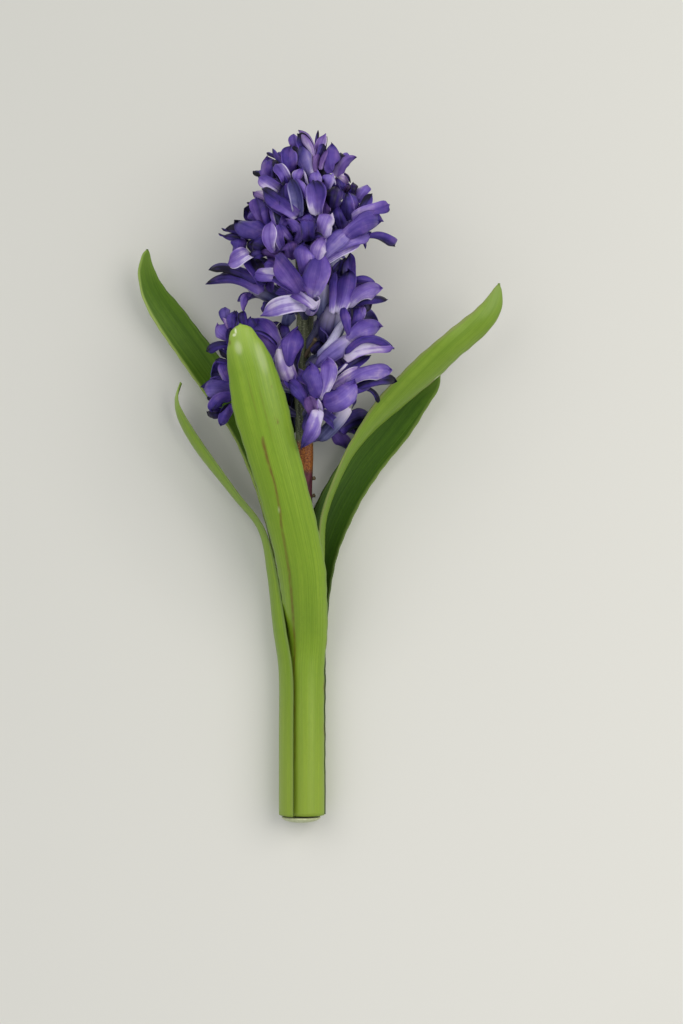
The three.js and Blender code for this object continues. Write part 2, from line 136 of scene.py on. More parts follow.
# %% Grid to closed shell
def shell(grid, thickness):
    """Points and quads of a closed blade. The normal is the cross product of the differences
    along the two ways of the grid. Returns outer points first, then inner points."""
    rows, cols = grid.shape[-3:-1]
    along = np.gradient(grid, axis=-3)
    across = np.gradient(grid, axis=-2)
    half = 0.5 * thickness[..., None] * unit(np.cross(across, along))
    blades = np.stack([grid + half, grid - half], axis=-4).reshape(-1, 2 * rows * cols, 3)

    at = np.arange(rows * cols).reshape(rows, cols)
    outer = np.stack([at[:-1, :-1], at[:-1, 1:], at[1:, 1:], at[1:, :-1]], -1).reshape(-1, 4)
    inner = outer[:, ::-1] + rows * cols
    ring = np.concatenate([at[0, :-1], at[:-1, -1], at[-1, :0:-1], at[:0:-1, 0]])
    after = np.roll(ring, -1)
    edge = np.stack([after, ring, ring + rows * cols, after + rows * cols], -1)
    quads = np.concatenate([outer, inner, edge])
    sides = np.concatenate([np.zeros(len(outer)), np.ones(len(inner)), np.zeros(len(edge))])
    first_points = over_cells(np.arange(len(blades)) * 2 * rows * cols)
    all_quads = (quads[None] + first_points).reshape(-1, 4)
    return blades.reshape(-1, 3), all_quads, np.tile(sides, len(blades))


def make_blades(name, grid, thickness, values, finishes):
    """A piece of blades with two finishes, the first one on the skin that the normal leaves, and
    the same values on both skins."""
    points, quads, sides = shell(grid, thickness)
    on_both = {
        key: np.stack([np.broadcast_to(v, thickness.shape)] * 2, axis=-3).ravel()
        for key, v in values.items()
    }
    return make_piece(name, points, quads, finishes, sides, on_both)


# %% [markdown]
# ## Shader nodes
# A finish is a small tree of nodes. One table says which kinds are used here, and one function
# adds any of them, with its settings and its links. It returns the node's output, so the calls
# read like a formula.

# %% Kinds of nodes, and the function that adds one
# Blender's name, settings, the sockets that the inputs fill in turn, and the output that is read
NODES = {
    "stored number": ("Attribute", {}, (), "Fac"),
    "place": ("TexCoord", {}, (), "Object"),
    "x": ("SeparateXYZ", {}, (0,), "X"),
    "y": ("SeparateXYZ", {}, (0,), "Y"),
    "vector": ("CombineXYZ", {}, (0, 1, 2), 0),
    "stretch": ("Mapping", {}, ("Vector", "Scale"), 0),
    "noise": ("TexNoise", {}, ("Vector", "Scale", "Detail"), "Fac"),
    "size": ("Math", {"operation": "ABSOLUTE"}, (0,), 0),
    "sum": ("Math", {"operation": "ADD"}, (0, 1), 0),
    "difference": ("Math", {"operation": "SUBTRACT"}, (0, 1), 0),
    "product": ("Math", {"operation": "MULTIPLY"}, (0, 1), 0),
    "product and sum": ("Math", {"operation": "MULTIPLY_ADD"}, (0, 1, 2), 0),
    "slope": ("MapRange", {}, (0, 1, 2), 0),
    "rise": ("MapRange", {"interpolation_type": "SMOOTHSTEP"}, (0, 1, 2, 3, 4), 0),
    "mix": ("Mix", {}, (0, 2, 3), 0),
    "colour mix": ("Mix", {"data_type": "RGBA"}, (0, 6, 7), 2),
    "ramp": ("ValToRGB", {}, (0,), 0),
    "bump": ("Bump", {}, ("Height", "Strength", "Distance"), 0),
}


def add(tree, kind, *inputs, **settings):
    """Adds a node and returns its output. Each input is another node's output, which is linked, a
    hex colour or a plain value. A rise goes smoothly from 0 to 1, or between its last two inputs,
    while the first input goes from the second to the third."""
    blender_name, fixed, sockets, output = NODES[kind]
    node = tree.nodes.new("ShaderNode" + blender_name)
    for name, value in {**fixed, **settings}.items():
        setattr(node, name, value)
    for socket, value in zip(sockets, inputs):
        if isinstance(value, bpy.types.NodeSocket):
            tree.links.new(value, node.inputs[socket])
        else:
            node.inputs[socket].default_value = linear(value) if isinstance(value, str) else value
    return node.outputs[output]


def new_finish(name, **looks):
    """A material and its node tree. Looks set inputs of its surface, with _ for a space."""
    material = bpy.data.materials.new(name)
    material.use_nodes = True
    surface = material.node_tree.nodes["Principled BSDF"]
    for key, value in looks.items():
        surface.inputs[key.replace("_", " ")].default_value = value
    return material, material.node_tree


def coat(tree, colour, relief=None, strength=0.0, depth=0.0):
    """Links a colour to the surface, and a relief of this strength and depth in millimetres."""
    surface = tree.nodes["Principled BSDF"]
    tree.links.new(colour, surface.inputs["Base Color"])
    if relief:
        bump = add(tree, "bump", relief, strength, depth * MM)
        tree.links.new(bump, surface.inputs["Normal"])


# %% [markdown]
# ## Camera
# The photograph was taken from straight above, with the flower's head away. One pixel is 0.4 mm
# at the height of the flower's middle, which a lens of 85 mm gives from about a metre.

# %% Camera
camera_data = bpy.data.cameras.new("overhead_camera")
camera_data.lens = 85.1
camera_data.sensor_width = 36.0
camera_data.clip_end = 20.0
camera = bpy.data.objects.new("overhead_camera", camera_data)
camera.location = (0.0084, -0.0134, 0.998)
bpy.context.scene.collection.objects.link(camera)
bpy.context.scene.camera = camera
print("camera at", tuple(camera.location))

# %% [markdown]
# ## Light and floor
# The backdrop is a pale warm grey sheet. Two large soft lights stand left and right of the flower,
# the right one stronger, so both sides get a faint soft shadow. A pale sky fills the rest.

# %% Lights
LIGHT_SIZE = 1.15  # metres
LIGHTS = {  # place in metres, power in watts, colour
    "soft_light_right": ((0.85, 0.4, 1.15), 11.4, "#fff9f3"),
    "soft_light_left": ((-0.65, 0.6, 1.15), 6.4, "#fffaf6"),
}
SKY_STRENGTH = 0.56

for name, (place, power, colour) in LIGHTS.items():
    data = bpy.data.lights.new(name, "AREA")
    data.shape = "SQUARE"
    data.size = LIGHT_SIZE
    data.energy = power
    data.color = linear(colour)[:3]
    light = bpy.data.objects.new(name, data)
    light.location = place
    # it is turned towards the flower's head: first tipped from straight down, then swung round
    aim = np.array([0.0, 0.02, 0.02]) - np.array(place)
    tip = math.acos(-aim[2] / np.linalg.norm(aim))
    light.rotation_euler = (tip, 0.0, math.atan2(-aim[0], aim[1]))
    bpy.context.scene.collection.objects.link(light)

sky = bpy.data.worlds.new("pale_room")
bpy.context.scene.world = sky
sky.use_nodes = True
sky.node_tree.nodes["Background"].inputs["Color"].default_value = linear("#f4f6fb")
sky.node_tree.nodes["Background"].inputs["Strength"].default_value = SKY_STRENGTH
bpy.context.scene.view_settings.view_transform = "Standard"
print(len(LIGHTS), "lights, and a sky of strength", SKY_STRENGTH)

# %% [markdown]
# The sheet is smooth painted card with no gloss. A painted falloff of light makes it a little paler
# to the lower right, and it has a faint unevenness a third of a metre wide.

# %% Floor
FLOOR_REACH = 3.0  # metres to each side
FALLOFF_REACH = 0.42  # metres from the middle, where the painted falloff of light is at its palest and its darkest

paper, tree = new_finish("pale card backdrop", Roughness=0.9, Specular_IOR_Level=0.2)
where = add(tree, "place")
# painted light: the card's colour falls off towards the upper left, as a pool of the lamps' light would
lower = add(tree, "product", add(tree, "y", where), -1.4)
lower_right = add(tree, "sum", add(tree, "x", where), lower)
paler = add(tree, "slope", lower_right, -FALLOFF_REACH, FALLOFF_REACH)
falloff_and_clouds = add(tree, "mix", 0.12, paler, add(tree, "noise", where, 3.0, 2.0))
coat(tree, add(tree, "colour mix", falloff_and_clouds, "#c9cac3", "#e3e3db"))

floor_mesh = bpy.data.meshes.new("backdrop")
corners = [(FLOOR_REACH * x, FLOOR_REACH * y, 0) for x, y in ((-1, -1), (1, -1), (1, 1), (-1, 1))]
floor_mesh.from_pydata(corners, [], [(0, 1, 2, 3)])
floor_mesh.materials.append(paper)
backdrop = bpy.data.objects.new("backdrop", floor_mesh)
bpy.context.scene.collection.objects.link(backdrop)

# %% [markdown]
# ## Where the stalk runs, and where petals must bend clear
# The stalk's middle line is a short list of places. Petals that meet the surface, or a leaf above
# or below them, bend along it, as on the solids.

# %% The stalk's line
# x, y and z from the cut end to the top
STALK_LINE = np.array([
    [0, 0.2, 7.9], [0, 40, 7.9], [0.1, 71, 8.2], [-0.4, 102, 10.5], [-0.8, 132, 15],
    [-0.2, 147, 19], [-1.3, 183, 24], [0.1, 202, 26], [-1.2, 242, 27], [0.2, 257, 27.5],
])


def stalk_at(height):
    """The stalk's middle at a height, on the straight run between the two nearest places."""
    return np.stack([np.interp(height, STALK_LINE[:, 1], STALK_LINE[:, k]) for k in range(3)], -1)


# lines along which leaves pass, as x and y of both ends, and how far to each side they count
SIDE_LEAVES = [(-14, 131, -62, 222, 14), (8, 113, 53, 178, 15.5)]
FRONT_LEAF = (-3, 104, -24, 194, 17)
FLOOR_RISE = 14.8  # how much higher petals stay where a side leaf lies under them
CEILING, CEILING_DROP = 80, 38  # and how much lower where the front leaf lies over them
SOFT = 4.0  # within this distance a petal bends


def near(points, x0, y0, x1, y1, reach):
    """1 on the line from (x0, y0) to (x1, y1), falling off as e^-d^4, d being the distance from
    it over the reach."""
    dx, dy = x1 - x0, y1 - y0
    x, y = points[..., 0] - x0, points[..., 1] - y0
    f = np.clip((x * dx + y * dy) / (dx * dx + dy * dy), 0, 1)
    return np.exp(-((np.hypot(x - f * dx, y - f * dy) / reach) ** 4))


def bend_clear(points):
    """Below low, which is 4 mm over the floor, a point's height eases towards the floor as an
    exponential. Above high, 4 mm under the ceiling, it eases towards the ceiling."""
    on_leaf = np.maximum(*(near(points, *leaf) for leaf in SIDE_LEAVES))
    low = LYING_HEIGHT + FLOOR_RISE * on_leaf + SOFT
    z = points[..., 2]
    z = np.where(z < low, low - SOFT + SOFT * np.exp((np.minimum(z, low) - low) / SOFT), z)
    high = CEILING - CEILING_DROP * near(points, *FRONT_LEAF) - SOFT
    z = np.where(z > high, high + SOFT - SOFT * np.exp((high - np.maximum(z, high)) / SOFT), z)
    return np.concatenate([points[..., :2], z[..., None]], -1)


# %% [markdown]
# ## The florets
# Each floret is a fleshy tube that opens into six lobes. The lobes curl out and back. On the real
# flower no two are alike, so the ones the photograph shows are listed one by one, and those
# underneath follow a rule.

# %% Rows of florets
LOBES = 6
# height up the stalk, turn round it from +x towards +z, lean from the stalk's direction, reach
# from the stalk's middle to the throat, roll of its lobes, curl of the lobes, and their length
FLORETS_FRONT = [
    [252, 80, 29, 13.6, 0, 72, 13], [251, 38, 36, 13, 20, 80, 12.5],
    [246, 32, 50, 14.5, 10, 88, 13], [247, 112, 46, 14, 40, 82, 13],
    [244, 128, 60, 15.5, 0, 90, 13], [242, 63, 62, 18, 30, 95, 14],
    [241, 108, 63, 17, 15, 95, 14], [237, 98, 69, 22, 0, 105, 15], [237, 74, 72, 22, 25, 105, 15],
    [236, 37, 76, 20, 5, 95, 14.5], [233, -10, 70, 20, 30, 95, 15],
    [234, 130, 73, 20, 10, 100, 15], [229, 81, 80, 23, 30, 110, 16],
    [227, 114, 75, 22, 0, 108, 16], [226, 160, 75, 21, 20, 98, 15.5],
    [221, 27, 62, 24, 30, 95, 17.5], [217, 135, 78, 22, 40, 108, 16],
    [202, 165, 60, 28, 0, 78, 18], [200, 89, 60, 24, 0, 112, 18], [202, -30, 65, 23, 20, 90, 15],
    [186, 36, 40, 24, 0, 48, 19], [182, 43, 73, 24, 30, 100, 18], [182, 167, 66, 24, 10, 95, 17],
    [172, 108, 64, 24.2, 0, 105, 18], [170, 27, 74, 25, 40, 85, 17],
    [171, 185, 67, 25, 40, 90, 17], [161, 73, 77, 24, 22, 112, 18], [162, 172, 72, 25, 0, 90, 17],
    [151, -24, 59, 19.6, 0, 70, 17],
]
# some lobes are uneven: floret, lobe, extra turn, extra curl
UNEVEN = [
    [0, 0, 0, -35], [11, 5, 0, 30], [15, 1, 55, 0], [15, 2, 32, -8], [15, 3, 8, -8],
    [15, 4, 0, 12], [18, 0, 0, -8], [18, 1, -8, 12], [18, 2, -8, -30], [18, 3, 49, 0],
    [18, 4, 28, -8], [18, 5, 20, -5], [20, 0, 20, 0], [20, 2, 30, -25], [20, 3, 20, -30],
    [20, 4, -2, 0], [20, 5, -20, 0], [21, 1, 0, 20], [21, 2, 10, 0], [21, 4, -5, 0],
    [21, 5, -25, 0], [23, 2, -10, 0], [23, 3, -35, 45], [23, 5, 5, 0], [24, 1, 0, 20],
    [24, 3, -20, 5], [24, 4, -5, 25], [26, 0, -60, 0], [26, 1, -22, 10], [26, 2, -5, 45],
    [26, 3, 15, 0], [26, 5, -30, 0], [28, 2, 0, -30],
]
# florets that would show past the petals in front of them, and the share of their size they keep
TAMED = {10: 0.72, 15: 0.6, 19: 0.45, 28: 0.5, 29: 0.6, 31: 0.3, 32: 0.5, 34: 0.8}
# the tube's radius in millimetres from foot to throat, on a floret of full size
TUBE = np.array(
    [[0.0, 1.1], [0.08, 1.1], [0.3, 1.5], [0.42, 3.0], [0.66, 2.75], [0.85, 3.2], [1.0, 4.1]]
)

# six hang underneath, 11 mm apart, in turn to the left and to the right
order = np.arange(6)
under = np.tile([182, 270, 58, 22, 0, 85, 15.5], (6, 1))
under[:, 0] += 11 * order
under[:, 1] += np.where(order % 2, 1, -1) * (25 + 35 * draw(order + 0.1))
under[:, 4] = 60 * draw(order + 0.4)
florets = np.concatenate([np.array(FLORETS_FRONT, float), under])
# those in front are drawn in, behind the petals that are laid one by one further down
facing_up = np.sin(np.radians(florets[:, 1])) > 0.1
florets[facing_up, 3] *= 0.66
florets[facing_up, 6] *= 0.6
for number, share in TAMED.items():
    florets[number, 3] *= 0.5 + 0.5 * share
    florets[number, 6] *= share
uneven = np.zeros((len(florets), LOBES, 2))
for number, lobe, *extra in UNEVEN:
    uneven[number, lobe] = extra
print(len(florets), "florets of", LOBES, "lobes")

# %% [markdown]
# ## One lobe as a grid
# A lobe's grid has rows from the foot of the tube to its tip, and columns across it. Its first
# rows are a sixth of the tube. From the throat on it is a blade whose rib follows a circle's arc,
# and its middle is hollowed like a gutter, flattening towards the tip.

# %% Floret grids
TUBE_ROWS, LOBE_ROWS, COLUMNS = 9, 18, 9
FULL_LOBE = 17.0  # length of a lobe on a floret of full size
LOBE_START = math.radians(15)  # how far a lobe leans out at the throat
LOBE_WIDTH = 0.222  # half width over length
WIDEST_GAP = 60  # degrees from a lobe's rib to the margin it shares with the next


def floret_grids(rows, first_seed):
    """Grids for every lobe of the florets in rows. Tube: the floret's axis plus a radius at an
    angle round it. Lobe: from the throat's rim in small steps, each outward by sin a and on along
    the axis by cos a, where a runs from its start to the curl, then sideways by the half width."""
    turn, lean = np.radians(rows[:, 1]), np.radians(rows[:, 2])
    axis = np.stack([np.cos(turn) * np.sin(lean), np.cos(lean), np.sin(turn) * np.sin(lean)], -1)
    first = unit(np.cross(axis, [0.0, 1.0, 0.0]))
    second = np.cross(axis, first)

    seed = (first_seed + np.arange(len(rows)))[:, None] * LOBES + np.arange(LOBES)
    extra = uneven[first_seed : first_seed + len(rows)]
    az = rows[:, 4:5] + 60 * np.arange(LOBES) + 10 * (draw(seed) - 0.5) + extra[..., 0]
    length = rows[:, 6:7] * (0.94 + 0.12 * draw(seed + 0.3))
    curl = np.radians(rows[:, 5:6] + 30 * (draw(seed + 0.6) - 0.5) + extra[..., 1])
    gap_after = np.concatenate([az[:, 1:], az[:, :1] + 360], 1) - az
    gap_before = np.roll(gap_after, 1, axis=1)

    # every array from here on is [floret, lobe, row, column], and points have x, y, z after
    def own(step):
        """One draw for each lobe."""
        return over_cells(draw(seed + step))

    u = np.linspace(-1, 1, COLUMNS)
    root, axis, first, second = (
        v[:, None, None, None] for v in (stalk_at(rows[:, 0]), axis, first, second)
    )
    reach, lobe_length = over_cells(rows[:, 3:4]), over_cells(rows[:, 6:7])
    size = 0.4 + 0.6 * lobe_length / FULL_LOBE
    az = over_cells(az)
    half_gap = 0.5 * np.where(u < 0, over_cells(gap_before), over_cells(gap_after))

    def outward(degrees):
        """The way out from the floret's axis, at an angle round it."""
        a = np.radians(degrees)[..., None]
        return first * np.cos(a) + second * np.sin(a)

    # the tube, from inside the stalk to the row before the throat
    share = np.linspace(0.02, 1, TUBE_ROWS + 1)[:-1, None]
    radius = np.interp(share, TUBE[:, 0], TUBE[:, 1]) * size
    groove = 1 - 0.1 * smooth(0.3, 0.6, share) * np.abs(u) ** 3
    middle = root + axis * (reach * share)[..., None]
    tube = middle + outward(az + u * half_gap) * (radius * groove)[..., None]

    # the lobe's rib, from the throat to the tip
    s = np.linspace(0, 1, LOBE_ROWS)[:, None] ** 0.9
    rim = TUBE[-1, 1] * size
    hook = np.radians(50 * (own(0.25) - 0.4))
    a = LOBE_START + (over_cells(curl) - LOBE_START) * s + hook * smooth(0.55, 1, s)
    step = over_cells(length) * np.diff(s, axis=0, prepend=0)
    out = rim - 0.2 + np.cumsum(step * np.sin(a), axis=2)
    on = np.cumsum(step * np.cos(a), axis=2)
    straight = outward(az)
    rib = root + axis * reach[..., None] + straight * out[..., None] + axis * on[..., None]
    across = np.cross(axis, straight)
    normal = straight * np.cos(a)[..., None] - axis * np.sin(a)[..., None]

    # each lobe twists and waves a little its own way
    twist = (np.radians(34 * (own(0.15) - 0.5)) * smooth(0.15, 1, s))[..., None]
    sideways = across * np.cos(twist) + normal * np.sin(twist)
    facing = normal * np.cos(twist) - across * np.sin(twist)
    full = LOBE_WIDTH * lobe_length * (0.9 + 0.2 * own(0.45))
    margin = np.radians(np.minimum(half_gap, WIDEST_GAP))
    start_width = rim * np.sin(margin)
    end = np.clip((s - 0.45) / 0.55, 0, 1)
    width = start_width + (full - start_width) * smooth(0, 0.5, s)
    width = width * (1 - end**2.8) ** 0.66 + 0.06
    width = np.minimum(width, np.maximum(out * np.tan(margin) - 0.1, 0.3))
    hollow = rim * (1 - np.cos(np.radians(half_gap))) * (1 - smooth(0, 0.5, s))
    cup = (0.3 + 0.5 * own(0.75)) * full * smooth(0, 0.3, s) * (1 - smooth(0.6, 1, s))
    rolled = 0.9 * (own(0.9) - 0.4) * width * smooth(0.5, 0.95, s)
    wave = 0.3 * np.sin(9 * s + 6.28 * own(0.05)) * u
    depth = (hollow + cup + rolled) * u**2 + wave * smooth(0.2, 0.7, s) * (1 - end**4)
    lobe = rib + sideways * (u * width)[..., None] - facing * depth[..., None]

    # the blade thins from the throat to the tip and from the rib to the margins
    tube_thick = 0.75 - 0.15 * np.abs(u) + 0 * share
    lobe_thick = (0.6 - 0.3 * smooth(0, 0.4, s)) * (1 - 0.45 * u**2)
    lobe_thick = lobe_thick + 0.22 * np.exp(-((u / 0.2) ** 2)) * (1 - s)
    grid = np.concatenate([np.broadcast_to(tube, (*lobe.shape[:2], *tube.shape[2:])), lobe], 2)
    thick = np.broadcast_to(np.concatenate([tube_thick, lobe_thick]), grid.shape[:-1])
    place = np.concatenate([share - 1, s])
    values = {
        "along": place,
        "across": u,
        "chance": own(0.55),
        # a low tone, painted shade: these florets are the mass deep in the head behind the single petals
        "tone": 0.1 + 0.3 * own(0.65),
        "tint": own(0.8) - 0.6 - 0.6 * (place < 0),
        "pale": 0.55 * own(0.35),
    }
    return bend_clear(grid), thick, values


# %% [markdown]
# ## Violet petals
# A hyacinth petal is thin, waxy tissue full of sap. The colour is in its skin: deep violet at the
# tip, margins and rib, lilac between them, and nearly white in the throat, while the outside of
# the tube is a dull slate blue. Fine veins run along it. It glows a little where light passes
# through, which subsurface scattering gives, and its gloss is soft.

# %% Petal finish
# the colours of the skin, from the darkest tone to the palest
VIOLET = [(0, "#130d26"), (0.1, "#231a50"), (0.3, "#413283"), (0.5, "#574294"), (0.7, "#725eb0"),
          (0.85, "#8e7cbd"), (1, "#c9c1e2")]
ROSE = [(0, "#1b0e20"), (0.3, "#4f3573"), (0.6, "#7c5f9c"), (0.85, "#a18cb8"), (1, "#c9bccf")]
# the slate ramp's darkest stop is a greenish black: painted shade for the dark slate petals that stand for
# the stalk in shadow
SLATE = [(0, "#0d110c"), (0.3, "#3a3b68"), (0.6, "#6b7098"), (1, "#b4b6cb")]
PATCHES_PER_METRE = 230.0  # patches of tone about 4 mm wide


def petal_finish(name, inside):
    """Tone picks the colour from the violet ramp, tint moves it towards rose or slate."""
    material, tree = new_finish(
        name, Roughness=0.4, IOR=1.4, Specular_IOR_Level=0.26, Subsurface_Weight=0.25,
        Subsurface_Radius=(0.8, 0.6, 1.0), Subsurface_Scale=MM,
    )
    along, across, chance, tone, tint, pale = (
        add(tree, "stored number", attribute_name=key)
        for key in ("along", "across", "chance", "tone", "tint", "pale")
    )
    aside = add(tree, "size", across)
    patches = add(tree, "noise", add(tree, "place"), PATCHES_PER_METRE, 2.0)
    # veins: noise that is fine across the petal (0.35 mm) and long along it
    lines = add(
        tree, "vector", add(tree, "product", across, 8.5), add(tree, "product", along, 1.2),
        add(tree, "product", chance, 40.0),
    )
    veins = add(tree, "noise", lines, 1.0, 3.0)

    # between rib and margin the skin is paler, the rib and the tip are darker, and the margin is
    # one or the other by chance
    between = add(
        tree, "product", add(tree, "rise", aside, 0.05, 0.35), add(tree, "rise", aside, 0.95, 0.5)
    )
    rib = add(
        tree, "product", add(tree, "rise", aside, 0.22, 0.0), add(tree, "rise", along, 0.05, 0.3)
    )
    tip = add(
        tree, "product", add(tree, "rise", along, 0.7, 1.0),
        add(tree, "rise", tone, 0.9, 0.3, 0.4, 1.0),
    )
    margin = add(
        tree, "product", add(tree, "rise", aside, 0.8, 1.0),
        add(tree, "rise", chance, 0.35, 0.65, -0.12, 0.3),
    )
    nudges = [
        (add(tree, "difference", patches, 0.5), 0.45), (add(tree, "difference", veins, 0.5), 0.32),
        (between, 0.07), (rib, -0.05), (tip, -0.12), (margin, 0.8),
    ]
    tone_now = tone
    for value, amount in nudges:
        tone_now = add(tree, "product and sum", value, amount, tone_now)

    colours = []
    for stops in (VIOLET, ROSE, SLATE):
        colours.append(add(tree, "ramp", tone_now))
        elements = colours[-1].node.color_ramp.elements
        while len(elements) < len(stops):
            elements.new(0.5)
        for element, (spot, code) in zip(elements, stops):
            element.position, element.color = spot, linear(code)
    violet, rose, slate = colours
    colour = add(tree, "colour mix", add(tree, "rise", tint, 0.0, 1.0), violet, rose)
    flush = add(tree, "product", add(tree, "rise", patches, 0.5, 0.7), 0.4)
    colour = add(tree, "colour mix", flush, colour, rose)
    colour = add(tree, "colour mix", add(tree, "rise", tint, 0.0, -1.0), colour, slate)
    if inside:
        white = add(tree, "product", pale, add(tree, "rise", along, 0.5, 0.0))
        colour = add(tree, "colour mix", white, colour, "#d2c9de")
    else:
        streak = add(
            tree, "product", add(tree, "rise", along, 0.85, 0.1),
            add(tree, "rise", aside, 0.85, 0.1, 0.3, 1.0),
        )
        streak = add(tree, "product", pale, streak)
        colour = add(tree, "colour mix", streak, colour, "#bdb8d6")
    coat(tree, colour, veins, 0.3, 0.3)
    return material


petal_skins = [
    petal_finish("hyacinth petal outer skin", False),
    petal_finish("hyacinth petal inner skin", True),
]

# %% Florets in two pieces
CROWN = 15  # florets of the crown, which come first in the rows
crown_lobes, low_lobes = floret_grids(florets[:CROWN], 0), floret_grids(florets[CROWN:], CROWN)
florets_top = make_blades("florets_of_the_crown", *crown_lobes, petal_skins)
florets_low = make_blades("florets_below_the_crown", *low_lobes, petal_skins)

# %% [markdown]
# ## Petals laid one by one
# The petals that face the camera are what everyone looks at, and no rule gives their disorder. So
# each is a row of its own: where it starts, passes and ends, how wide and how hollow it is. The
# places were picked on the photograph, and are turned into millimetres here. The florets
# above stay behind them as the mass of the head.

# %% From the photograph to millimetres
PIXEL, FROM_CAMERA = 0.4, 968.0  # mm in a pixel, at this distance from the camera in mm
CAMERA_HEIGHT = 998.0
PHOTO_MIDDLE = (341.5, 512.0)  # pixels from the left and from the top
UNDER_CAMERA = (14.6, 123.6)  # the flower's x and y there
NEAR_PIXEL = 0.394  # mm in a pixel at the height of the petals
LIFT, LIFT_FROM, LIFT_OVER = 4.1, 38, 20  # mm


def seen_places(words, lift=0.0):
    """x, y and z of three places from four words: pixels x,y of each, and their heights in mm.
    Over 38 mm a height is raised by the lift times ((z - 38) / 20) to the 1.5, and from 58 mm on
    by the whole lift."""
    numbers = []
    for word, z in zip(words, [float(height) for height in words[3].split(",")]):
        across, down = (float(pixel) for pixel in word.split(","))
        z += lift * min(1, max(0, (z - LIFT_FROM) / LIFT_OVER)) ** 1.5
        size = PIXEL * (CAMERA_HEIGHT - z) / FROM_CAMERA
        x = UNDER_CAMERA[0] + (across - PHOTO_MIDDLE[0]) * size
        y = UNDER_CAMERA[1] + (PHOTO_MIDDLE[1] - down) * size
        numbers += [round(x, 1), round(y, 1), round(z, 1)]
    return numbers
